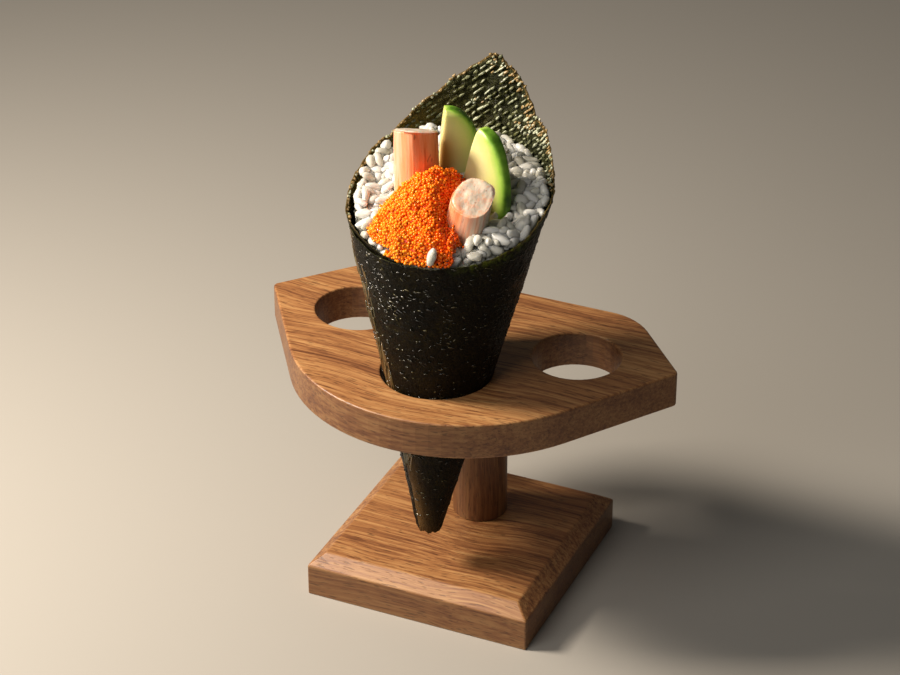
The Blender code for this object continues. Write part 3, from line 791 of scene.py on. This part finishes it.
def outer_creases(outer):
    """Tiny shiny creases that stand out of the sheet's outside, mostly lying level,
    and long folds beside its seam, tinted tan as painted highlight of the seam's edge."""
    random = np.random.default_rng(47)
    creases = []
    while len(creases) < 90:
        slant = random.uniform(42, 113)
        turn = seam_turn((slant - NORI_TIP_SLANT) / 98) + random.uniform(0.02, 0.34)
        size = random.uniform((2.5, 0.3, 0.3), (9, 0.6, 0.55))
        # The folds' high tints turn them tan: painted highlight where the seam's edge catches the light.
        fold = crease_on(outer, turn, slant, math.pi / 2 + random.normal(0.06, 0.1), size,
                         random.uniform(0.6, 1.0))
        if fold:
            creases.append(fold)
    while len(creases) < 1500:
        turn, slant = random.uniform((math.radians(-175), 22), (math.radians(180), 121))
        off = math.hypot((turn - math.radians(-38)) / math.radians(22), (slant - 108) / 10)
        if random.uniform() > 0.45 * slant / 121 + 0.55 * math.exp(-off ** 2):
            continue
        clump = ripple(turn * slant * math.sin(HALF_ANGLE), slant, 2, size=7)
        if random.uniform(-0.9, 0.9) > clump:
            continue
        size = random.uniform((0.5, 0.2, 0.2), (1.7, 0.42, 0.5))
        crease = crease_on(outer, turn, slant, random.normal(0.1, 0.35), size,
                           0.75 * random.uniform(0, 1) ** 2)
        if crease:
            creases.append(crease)
    return creases


def ridge_on(inner, turn, slant, along, away, size, tint):
    """A ridge set on the sheet's inside, its length along the sheet's rows."""
    outside = on_cone(turn, slant, 0)
    inward = (on_cone(turn, slant, 1) - outside).normalized()
    hit = inner.ray_cast(outside + inward * 6, -inward)[0]
    place = hit or outside + inward * NORI_THICKNESS
    place += inward * max(0.0, size[2] / 2 - 0.2)
    ahead = on_cone(*turn_and_slant(along + 0.5, away), 0) - outside
    across = inward.cross(ahead).normalized()
    ahead = across.cross(inward)
    turned = Matrix((ahead, across, inward)).transposed().to_quaternion()
    return place, turned, size, tint


def add_lumps(name, lumps, unevenness, material, scatter):
    places, turns, sizes, tints = zip(*lumps)
    shape = link_object("one lump", lump_mesh(8, 5))
    heap = points_object(name, places, turns, sizes, tints)
    tree, names = scatter
    run_tree(heap, tree, names, {"Grain": shape, "Unevenness": unevenness * MM,
                                 "Lump size": 0.9 * MM, "Material": material})
    bpy.data.objects.remove(shape)
    finish_piece(heap, "nori", "nori_wrap")


# ---- rice -----------------------------------------------------------------

def rice_plane(x, y):
    toward = x * math.sin(RICE_RISE_DIRECTION) - y * math.cos(RICE_RISE_DIRECTION)
    return RICE_LEVEL + RICE_SLOPE * toward


def rice_swell(x, y):
    """Clumps in the rice's top, and the shoulders where it stands up to the nori's rim."""
    left = 1.6 * math.exp(-((x + 22) ** 2 + (y + 2) ** 2) / 90)
    front = 1.7 * math.exp(-((x - 11) ** 2 + (y + 20) ** 2) / 80)
    far = 2.6 * math.exp(-((x + 6.6) ** 2 + (y - 26) ** 2) / 50)
    return 2.6 * ripple(x, y, 9, size=6.0) + left + front + far


def closest_shares(start_a, run_a, start_b, run_b):
    """How far along each of two segments their closest points lie, for many pairs."""
    between = start_a - start_b
    a = (run_a * run_a).sum(1)
    e = (run_b * run_b).sum(1)
    f = (run_b * between).sum(1)
    c = (run_a * between).sum(1)
    b = (run_a * run_b).sum(1)
    flatness = np.maximum(a * e - b * b, 1e-6)
    s = np.clip((b * f - c * e) / flatness, 0, 1)
    t = np.clip((b * s + f) / e, 0, 1)
    s = np.clip((b * t - c) / a, 0, 1)
    return s, t


class Grains:
    """Rice grains as short rods that push each other apart inside the rice's solid and
    pack against its uneven top from below."""

    slab = 7.5              # how deep the loose grains lie
    squeeze = 0.70          # cooked grains press into each other
    lift = 0.04             # what each round raises a grain by

    def __init__(self, count, seed):
        self.random = np.random.default_rng(seed)
        self.solid = node_tree("rice")
        self.roe = node_tree("roe_heap")
        self.length = self.random.uniform(4.0, 5.8, count)
        self.width = self.random.uniform(2.3, 2.9, count)
        reach = (self.length - self.width) / 2
        centres = np.array([self.free_place() for _ in range(count)])
        heading = self.random.uniform(0, 2 * math.pi, count)
        tilt = self.random.normal(0, 0.8, count)
        ways = np.stack([np.cos(heading) * np.cos(tilt), np.sin(heading) * np.cos(tilt),
                         np.sin(tilt)], 1)
        self.reach = reach[:, None]
        self.first = centres - ways * self.reach
        self.last = centres + ways * self.reach
        self.rise = self.random.uniform(-0.9, 0.9, count)

    def free_place(self):
        while True:
            x, y = self.random.uniform(-28, 28, 2)
            place = Vector((x, y, rice_plane(x, y) - self.random.uniform(1, self.slab)))
            nearest, normal, _, distance = self.solid.find_nearest(place)
            if (place - nearest).dot(normal) < 0 and distance > 1:
                return place

    def top_rise(self, x, y):
        """How far the heap stands over its solid here: clumps, and none under roe."""
        covered = self.roe.ray_cast(Vector((x, y, 170)), Vector((0, 0, -1)))[0]
        if by_the_rim(x, y):
            return -2.2
        if covered:
            return -1.0
        return rice_swell(x, y)

    def settle(self, rounds):
        for step in range(rounds):
            self.push_apart()
            self.keep_inside(step > rounds * 0.6)
            middle = (self.first + self.last) / 2
            way = self.last - self.first
            way /= np.linalg.norm(way, axis=1)[:, None]
            self.first = middle - way * self.reach
            self.last = middle + way * self.reach

    def push_apart(self):
        middle = (self.first + self.last) / 2
        apart = np.linalg.norm(middle[:, None] - middle[None], axis=2)
        i, j = np.nonzero(np.triu(apart < self.length.max(), 1))
        run_i = self.last[i] - self.first[i]
        run_j = self.last[j] - self.first[j]
        s, t = closest_shares(self.first[i], run_i, self.first[j], run_j)
        gap = (self.first[i] + run_i * s[:, None]) - (self.first[j] + run_j * t[:, None])
        distance = np.maximum(np.linalg.norm(gap, axis=1), 1e-4)
        overlap = (self.width[i] + self.width[j]) / 2 * self.squeeze - distance
        touching = overlap > 0
        i, j, s, t = i[touching], j[touching], s[touching], t[touching]
        push = gap[touching] / distance[touching][:, None] * overlap[touching][:, None] * 0.3
        np.add.at(self.first, i, push * (1 - s)[:, None])
        np.add.at(self.last, i, push * s[:, None])
        np.add.at(self.first, j, -push * (1 - t)[:, None])
        np.add.at(self.last, j, -push * t[:, None])

    def keep_inside(self, strict):
        for ends in (self.first, self.last):
            for index, point in enumerate(ends):
                place = Vector(point)
                nearest, normal, _, distance = self.solid.find_nearest(place)
                inside = distance if (place - nearest).dot(normal) < 0 else -distance
                wanted = self.width[index] / 2 - 0.7
                if normal.z > 0.6:
                    wanted -= self.rise[index] + self.top_rise(place.x, place.y)
                if inside < wanted:
                    place -= normal * (wanted - inside) * (1.0 if strict else 0.5)
                level = rice_plane(place.x, place.y)
                place.z = max(place.z, level - self.slab) + self.lift
                roof = level + self.top_rise(place.x, place.y) + self.rise[index] + 0.8
                place.z = min(place.z, roof - self.width[index] / 2)
                ends[index] = place


def grain_mesh():
    """A cooked short grain of unit length and width along X: plump, a little bent,
    with the notch that the germ leaves near one end."""
    around = 10
    steps = 8
    rings = []
    for row in range(1, steps):
        swing = math.pi * row / steps
        place = -0.5 * math.cos(swing)
        girth = math.sin(swing) ** 0.8
        ring = []
        for step in range(around):
            angle = 2 * math.pi * step / around
            notch = 0.3 * math.exp(-((place - 0.40) / 0.08) ** 2) * max(0, math.cos(angle)) ** 2
            radius = 0.5 * girth * (1 - notch)
            bend = 0.14 * (1 - (2 * place) ** 2)
            ring.append(Vector((place, radius * math.sin(angle),
                                radius * math.cos(angle) - bend)))
        rings.append(ring)
    mesh = mesh_of_rings(rings)
    mesh.vertices[-2].co.x = -0.5
    mesh.vertices[-1].co.x = 0.5
    face_outward(mesh)
    return mesh


def scatter_tree():
    """Sets a copy of one shape on every point, by the point's own turn and size, and
    makes each copy a little uneven."""
    tree, names, given, result = new_tree("scattered grains", {
        "Grain": "Object", "Unevenness": "Float", "Lump size": "Float",
        "Material": "Material"})
    turn = add_node(tree, "GeometryNodeInputNamedAttribute", {"Name": "turn"},
                    data_type="FLOAT_VECTOR").outputs[0]
    size = add_node(tree, "GeometryNodeInputNamedAttribute", {"Name": "size"},
                    data_type="FLOAT_VECTOR").outputs[0]
    grain = add_node(tree, "GeometryNodeObjectInfo", {"Object": given.outputs["Grain"]})
    copies = add_node(tree, "GeometryNodeInstanceOnPoints", {
        "Points": given.outputs["Geometry"], "Instance": grain.outputs["Geometry"],
        "Rotation": add_node(tree, "FunctionNodeEulerToRotation", {0: turn}), "Scale": size})
    real = add_node(tree, "GeometryNodeRealizeInstances", {"Geometry": copies})
    inverse = add_node(tree, "ShaderNodeMath", {0: 1.0, 1: given.outputs["Lump size"]},
                       operation="DIVIDE")
    texture = add_node(tree, "ShaderNodeTexNoise", {"Scale": inverse, "Detail": 1})
    around = add_node(tree, "ShaderNodeVectorMath", {0: texture.outputs["Color"],
                                                     1: (0.5, 0.5, 0.5)}, operation="SUBTRACT")
    offset = add_node(tree, "ShaderNodeVectorMath", {0: around, "Scale":
                                                     given.outputs["Unevenness"]},
                      operation="SCALE")
    moved = add_node(tree, "GeometryNodeSetPosition", {"Geometry": real, "Offset": offset})
    smooth = add_node(tree, "GeometryNodeSetShadeSmooth", {"Geometry": moved})
    finish = add_node(tree, "GeometryNodeSetMaterial", {"Geometry": smooth,
                                                        "Material": given.outputs["Material"]})
    tree.links.new(finish.outputs[0], result.inputs[0])
    return tree, names


def points_object(name, places, turns, sizes, tints):
    """A cloud of points in the row frame, each with the turn and size of its grain."""
    mesh = bpy.data.meshes.new(name)
    mesh.from_pydata([ROLL @ place for place in places], [], [])
    roll_turn = ROLL.to_quaternion()
    store(mesh, "turn", [(roll_turn @ turn).to_euler()[:] for turn in turns], "FLOAT_VECTOR")
    store(mesh, "size", [[length * MM for length in size] for size in sizes], "FLOAT_VECTOR")
    store(mesh, "tint", tints)
    return link_object(name, mesh)


def core_of(node, name, voxel, material, relief, lid=None):
    """A copy of a CAD heap, moved out or in by relief and kept under a lid, the height
    that it may reach at a place, for its loose grains to lie on."""
    core = link_object(name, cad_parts[node].data.copy())
    core.data.materials.clear()
    remesh = core.modifiers.new("even mesh", "REMESH")
    remesh.mode = "VOXEL"
    remesh.voxel_size = voxel * MM
    as_plain_mesh(core)
    core.data.transform(ROLL.inverted())
    moved = []
    for vertex in core.data.vertices:
        height = relief(vertex.co)
        place = vertex.co + vertex.normal * height
        if lid:
            place.z = min(place.z, lid(place.x, place.y) + height)
        moved.append(place)
    for vertex, place in zip(core.data.vertices, moved):
        vertex.co = place
    core.data.transform(ROLL)
    core.data.materials.append(material)
    core.data.shade_smooth()
    return core


def add_rice(material, scatter):
    grains = Grains(570, 11)
    grains.settle(110)
    random = grains.random
    shape = link_object("one grain", grain_mesh())
    places = [Vector(place) for place in (grains.first + grains.last) / 2]
    turns = []
    sizes = []
    for first, last, length, width in zip(grains.first, grains.last, grains.length,
                                          grains.width):
        heading = Vector(last - first).to_track_quat("X", "Z")
        roll = Quaternion((1, 0, 0), random.uniform(0, 2 * math.pi))
        turns.append(heading @ roll)
        sizes.append((length, width * 1.04, width * random.uniform(0.88, 1.0)))
    places.append(STRAY_GRAIN)
    turns.append(STRAY_GRAIN_WAY.to_track_quat("X", "Z"))
    sizes.append((5.2, 2.5, 2.4))
    tints = random.uniform(0, 0.8, len(places))
    heap = points_object("rice_grains", places, turns, sizes, tints)
    tree, names = scatter
    run_tree(heap, tree, names, {"Grain": shape, "Unevenness": 1.3 * MM,
                                 "Lump size": 1.9 * MM, "Material": material})
    bpy.data.objects.remove(shape)
    finish_piece(heap, "rice", "rice")
    core = core_of("rice", "rice_core", 0.8, material,
                   lambda place: 0.7 * ripple(*place, size=2.2) - 0.5,
                   lambda x, y: rice_plane(x, y) - 3.3 + 0.8 * rice_swell(x, y))
    finish_piece(core, "rice", "rice")


# ---- roe ------------------------------------------------------------------

def roe_clump(place):
    """How far the heap's clumps stand over its solid here."""
    return 0.8 * ripple(*place, size=3.6) + 0.6 * ripple(*place, size=1.6)


def by_the_rim(x, y):
    """Whether a place is in the front left strip where roe runs down to the nori."""
    turn = math.atan2(x, -y)
    return math.hypot(x, y) > 19 and RIM_ROE_FROM < turn < RIM_ROE_TO


def rim_slope(x, y):
    """Height of the roe where it falls from the heap's edge to the nori's rim, or None
    outside the cone."""
    turn = math.atan2(x, -y)
    rim = on_cone(turn, sheet_rim(turn), 0)
    inward = math.hypot(rim.x, rim.y) - 0.6 - math.hypot(x, y)
    return rim.z + 0.1 + 2.8 * inward if inward > 0 else None


def spots_on(name, count, random):
    """Places spread evenly over a CAD node's surface, with the way out there, in the
    roll's frame."""
    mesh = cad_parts[name].data
    mesh.calc_loop_triangles()
    back = ROLL.inverted()
    places = np.array([back @ vertex.co for vertex in mesh.vertices])
    corners = places[[triangle.vertices[:] for triangle in mesh.loop_triangles]]
    first = corners[:, 1] - corners[:, 0]
    second = corners[:, 2] - corners[:, 0]
    across = np.cross(first, second)
    area = np.linalg.norm(across, axis=1)
    chosen = random.choice(len(area), count, p=area / area.sum())
    near, far = random.uniform(size=(2, count, 1))
    outside = near + far > 1
    near = np.where(outside, 1 - near, near)
    far = np.where(outside, 1 - far, far)
    spots = corners[chosen, 0] + near * first[chosen] + far * second[chosen]
    return [(Vector(spot), Vector(way).normalized())
            for spot, way in zip(spots, across[chosen])]


def roe_candidates(heap, ground, random):
    """Places for beads: over the heap's lumpy surface, down the slope between it and
    the nori's rim, and a few on the rice beside it."""
    down = Vector((0, 0, -1))
    for spot, out in spots_on("roe_heap", 24000, random):
        below = ground.ray_cast(Vector((spot.x, spot.y, 170)), down)[0]
        if below is None or spot.z > below.z - 0.5:
            yield spot, out, roe_clump(spot)
    for turn, radius in random.uniform((RIM_ROE_FROM, 22), (RIM_ROE_TO, 26.8), (5000, 2)):
        x, y = radius * math.sin(turn), -radius * math.cos(turn)
        slope = rim_slope(x, y)
        if slope and not heap.ray_cast(Vector((x, y, 170)), down)[0]:
            spot = Vector((x, y, slope))
            yield spot, Vector((x, y, 12)).normalized(), 0.6 * roe_clump(spot)
    for x, y in random.uniform(-27, 27, (16000, 2)):
        spot, out, _, _ = ground.ray_cast(Vector((x, y, 170)), down)
        if spot is None or out.z < 0.3 or heap.ray_cast(Vector((x, y, 170)), down)[0]:
            continue
        away = heap.find_nearest(spot)[3]
        if random.uniform() < 0.16 * math.exp(-((away - 0.6) / 1.1) ** 2):
            yield spot, out, 0.6


def roe_points(heap, ground, limit, seed):
    """Places for the beads, all kept about a bead apart."""
    random = np.random.default_rng(seed)
    spacing = 0.62
    cells = {}
    places = []
    for spot, out, lift in roe_candidates(heap, ground, random):
        place = spot + out * (lift + random.uniform(-0.45, 0.35))
        key = tuple(int(v // spacing) for v in place)
        near = [other for dx in (-1, 0, 1) for dy in (-1, 0, 1) for dz in (-1, 0, 1)
                for other in cells.get((key[0] + dx, key[1] + dy, key[2] + dz), ())]
        if any((place - other).length < spacing for other in near):
            continue
        cells.setdefault(key, []).append(place)
        places.append(place)
    order = random.permutation(len(places))[:limit]
    return [places[index] for index in order], random


def add_roe(material, scatter):
    places, random = roe_points(node_tree("roe_heap"), node_tree("rice"), 4100, 5)
    shape = link_object("one bead", lump_mesh(6, 5))
    turns = [Quaternion(random.normal(size=4)).normalized() for _ in places]
    sizes = [(size, size * random.uniform(0.9, 1.0), size)
             for size in random.uniform(0.8, 1.05, len(places))]
    # The tint is partly random and partly painted light: beads on the heap's left, toward the key light,
    # are yellower.
    tints = [random.uniform(0, 0.5) + 0.5 * smooth_step(-place.x, -6, 14) for place in places]
    heap = points_object("roe_beads", places, turns, sizes, tints)
    tree, names = scatter
    run_tree(heap, tree, names, {"Grain": shape, "Unevenness": 0.15 * MM,
                                 "Lump size": 1.0 * MM, "Material": material})
    bpy.data.objects.remove(shape)
    finish_piece(heap, "roe", "roe_heap")
    core = core_of("roe_heap", "roe_core", 0.45, material,
                   lambda place: roe_clump(place) - 0.15)
    finish_piece(core, "roe", "roe_heap")


# ---- crab sticks ----------------------------------------------------------

def stick_surface(stick):
    """A slightly squared stick with fibres along its skin, cut across at the top."""
    around = 120
    rows = 46
    caps = 14
    foot, top, seed = stick["foot"], stick["top"], stick["seed"]
    axis = (top - foot).normalized()
    stand = Matrix.Translation(foot) @ axis.to_track_quat("Z", "Y").to_matrix().to_4x4()
    back = stand.inverted()
    dyed = back.to_3x3() @ stick["dyed"]
    dyed = math.atan2(dyed.y, dyed.x)
    cut_place = back @ top
    cut_way = (back.to_3x3() @ stick["cut"]).normalized()

    def section(angle, height):
        c, s = math.cos(angle), math.sin(angle)
        square = (abs(c) ** 2.7 + abs(s) ** 2.7) ** (-1 / 2.7)
        fibre = 0.16 * ripple(c * 9, s * 9, height / 14 + seed) \
            + 0.10 * ripple(c * 20, s * 20, height / 9 + seed)
        swell = 0.22 * stick["lumpiness"] * ripple(c * 1.2, s * 1.2, height / 11 + seed)
        return stick["radius"] * 0.965 * square + fibre + swell

    def rim(angle, share=1.0):
        radius = section(angle, cut_place.z) * share
        x, y = radius * math.cos(angle), radius * math.sin(angle)
        height = cut_place.z - (cut_way.x * (x - cut_place.x)
                                + cut_way.y * (y - cut_place.y)) / cut_way.z
        return Vector((x, y, height))

    angles = [2 * math.pi * step / around for step in range(around)]
    rings = []
    dyes = []
    for row in range(rows + 1):
        share = row / rows
        ring = []
        for angle in angles:
            edge = rim(angle)
            height = 25 + (edge.z - 0.35 - 25) * share
            radius = section(angle, height)
            ring.append(Vector((radius * math.cos(angle), radius * math.sin(angle), height)))
            facing = 0.5 + 0.5 * math.cos(angle - dyed)
            dyes.append(stick["side_dye"] + 0.62 * facing ** stick["dye_narrowing"])
        rings.append(ring)
    for cap in range(caps):
        share = 1 - cap / caps
        ring = []
        for angle in angles:
            point = rim(angle, share - 0.02 * (cap == 0))
            rough = 0.30 * stick["lumpiness"] * ripple(point.x, point.y, seed * 3.1, size=3.4) \
                + 0.10 * ripple(point.x, point.y, seed * 1.7, size=1.0)
            sunk = 0.45 * math.exp(-((1 - share) / 0.07) ** 2)
            ring.append(point + cut_way * (rough * min(1, (1 - share) * 8) - sunk))
            side = share * max(0, math.cos(angle - dyed))
            dyes.append(stick["face_dye"] + 0.35 * side ** 2 + 0.2 * math.exp(-((1 - share) / 0.06) ** 2))
        rings.append(ring)
    mesh = mesh_of_rings(rings)
    store(mesh, "dye", dyes + [0.3, -0.25])
    mesh.transform(stand)
    face_outward(mesh)
    return mesh


def add_crab_sticks():
    for name, stick in (("tall", CRAB_TALL), ("short", CRAB_SHORT)):
        mesh = stick_surface(stick)
        mesh.transform(ROLL)
        material = surimi("steamed surimi " + name, stick["foot"], stick["top"])
        node = "crab_stick_" + name
        finish_piece(link_object(node + "_flesh", mesh, material), "crab_stick", node)


# ---- avocado --------------------------------------------------------------

AVOCADO_LEFT = {
    "tip": Vector((-0.6, 14.3, 146.1)), "turn": math.radians(5),
    "back_lean": math.radians(3), "side_lean": 0.0, "length": 46, "thickness": 5.4,
    "inner_reach": 1.8, "outer_reach": 10.5, "tip_run": 17,
}
AVOCADO_RIGHT = {
    "tip": Vector((9.7, 3.0, 145.6)), "turn": math.radians(-50),
    "back_lean": math.radians(1), "side_lean": math.radians(2), "length": 44,
    "thickness": 4.6, "inner_reach": 5.6, "outer_reach": 12.5, "tip_run": 20,
}
AVOCADO_TIP_HALF_WIDTH = 0.8


def slice_section(inner, outer, half, points):
    """The outline across a slice: two flat knife cuts, rounded off at the skin side."""
    outline = []
    width = outer - inner
    for step in range(points):
        angle = 2 * math.pi * step / points
        c, s = math.cos(angle), math.sin(angle)
        power = 3.0 if c > 0 else 9.0
        reach = (abs(c) ** power + abs(s) ** power) ** (-1 / power)
        x = (inner + outer) / 2 + width / 2 * c * reach
        y = half * s * reach
        outline.append((x, y, outer - x))
    return outline


def slice_surface(shape, painted_shadow_bounce_place, painted_shadow_bounce_size):
    rows = 60
    points = 72
    turn = Matrix.Rotation(shape["turn"], 4, "Z")
    back = Matrix.Rotation(-shape["back_lean"], 4, "X")
    side = Matrix.Rotation(shape["side_lean"], 4, "Y")
    place = Matrix.Translation(shape["tip"]) @ turn @ back @ side
    rings = []
    depths = []
    painted_shadow_bounces = []
    for row in range(rows + 1):
        climb = row / rows
        z = -shape["length"] * (1 - climb) ** 1.6
        share = min(1, -z / shape["tip_run"])
        bulge = math.sqrt(1 - (1 - share) ** 2)
        outer = AVOCADO_TIP_HALF_WIDTH + (shape["outer_reach"] - AVOCADO_TIP_HALF_WIDTH) * bulge
        inner = -AVOCADO_TIP_HALF_WIDTH \
            - (shape["inner_reach"] - AVOCADO_TIP_HALF_WIDTH) * share ** 0.8
        half = shape["thickness"] / 2 * (0.55 + 0.45 * min(1, -z / 1.5) ** 0.5)
        ring = []
        for x, y, depth in slice_section(inner, outer, half, points):
            knife = 0.10 * ripple(x, 0, z, size=6) + 0.04 * ripple(x, y, z, size=1.1)
            sway = 0.25 * ripple(z, 4, size=14)
            ring.append(place @ Vector((x + sway, y + (knife if y > 0 else -knife), z)))
            depths.append(depth)
            # The patch on the lower left of the slice's face: painted shadow with painted orange
            # reflection.
            away = math.hypot((x - painted_shadow_bounce_place[0]) / painted_shadow_bounce_size[0],
                              (z - painted_shadow_bounce_place[1]) / painted_shadow_bounce_size[1])
            painted_shadow_bounces.append(0.75 * math.exp(-away ** 2) if y < 0 else 0)
        rings.append(ring)
    mesh = mesh_of_rings(rings)
    store(mesh, "skin_depth", depths + [3, 1])
    store(mesh, "painted_shadow_bounce", painted_shadow_bounces + [0, 0])
    face_outward(mesh)
    return mesh


def add_avocado():
    # Only the left slice gets the painted shadow and reflection; the right one's patch lies off the
    # slice.
    slices = (("avocado_left", AVOCADO_LEFT, (-2.5, -17), (4.2, 9)),
              ("avocado_right", AVOCADO_RIGHT, (-40, 0), (1, 1)))
    material = avocado_flesh("cut avocado flesh")
    for node, shape, painted_shadow_bounce_place, painted_shadow_bounce_size in slices:
        mesh = slice_surface(shape, painted_shadow_bounce_place, painted_shadow_bounce_size)
        mesh.transform(ROLL)
        piece = link_object(node + "_flesh", mesh, material)
        finish_piece(piece, "avocado", node)


# ---- stand ----------------------------------------------------------------

def dress_stand():
    board = walnut("oiled walnut board", (0, 0, 0))
    turned = walnut("oiled walnut turning", (0, math.radians(90), 0))
    for node, material in (("stand_base", board), ("stand_plate", board),
                           ("stand_post", turned)):
        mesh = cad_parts[node].data
        mesh.materials.clear()
        mesh.materials.append(material)


# ---- studio ---------------------------------------------------------------

def add_camera():
    camera = bpy.data.objects.new("camera", bpy.data.cameras.new("camera"))
    camera.location = (0.2747, -0.6270, 0.4756)
    camera.rotation_euler = (math.radians(59.9), 0, math.radians(24))
    camera.data.lens = 108
    camera.data.sensor_width = 36
    camera.data.clip_start = 0.02
    bpy.context.scene.collection.objects.link(camera)
    bpy.context.scene.camera = camera


def add_light(name, place, aim, size, power, tint):
    lamp = bpy.data.lights.new(name, "AREA")
    lamp.size = size
    lamp.energy = power
    lamp.color = colour(tint)[:3]
    light = bpy.data.objects.new(name, lamp)
    light.location = place
    light.rotation_euler = (Vector(aim) - Vector(place)).to_track_quat("-Z", "Y").to_euler()
    bpy.context.scene.collection.objects.link(light)


def add_studio():
    bm = bmesh.new()
    bmesh.ops.create_grid(bm, x_segments=1, y_segments=1, size=3)
    mesh = bpy.data.meshes.new("floor")
    bm.to_mesh(mesh)
    bm.free()
    paint, _, shader = new_material("matt pale paint", Roughness=0.8)
    shader.inputs["Base Color"].default_value = colour("aca8a0")
    floor = link_object("floor", mesh, paint)
    middle = (0, 0, 0.1)
    add_light("key", (-0.34, -0.15, 0.38), middle, 0.12, 4.35, "fff1e0")
    add_light("fill", (-0.20, -0.62, 0.62), middle, 0.5, 2.7, "fbf5ee")
    world = bpy.data.worlds.new("studio")
    world.use_nodes = True
    back = world.node_tree.nodes["Background"]
    back.inputs["Color"].default_value = colour("e8e6e2")
    back.inputs["Strength"].default_value = 0.08
    bpy.context.scene.world = world
    bpy.context.scene.view_settings.view_transform = "Standard"


# ---- the whole ------------------------------------------------------------

add_camera()
add_studio()
dress_stand()
grain_scatter = scatter_tree()
nori_sides = add_nori(nori("nori smooth side", False), nori("nori rough side", True))
add_lumps("nori_ridges", inner_ridges(nori_sides) + edge_fray(nori_sides), 0.8,
          nori_lumps(), grain_scatter)
add_lumps("nori_creases", outer_creases(nori_sides), 0.3, nori_creases(), grain_scatter)
add_rice(cooked_rice(), grain_scatter)
add_roe(roe_material(), grain_scatter)
add_crab_sticks()
add_avocado()
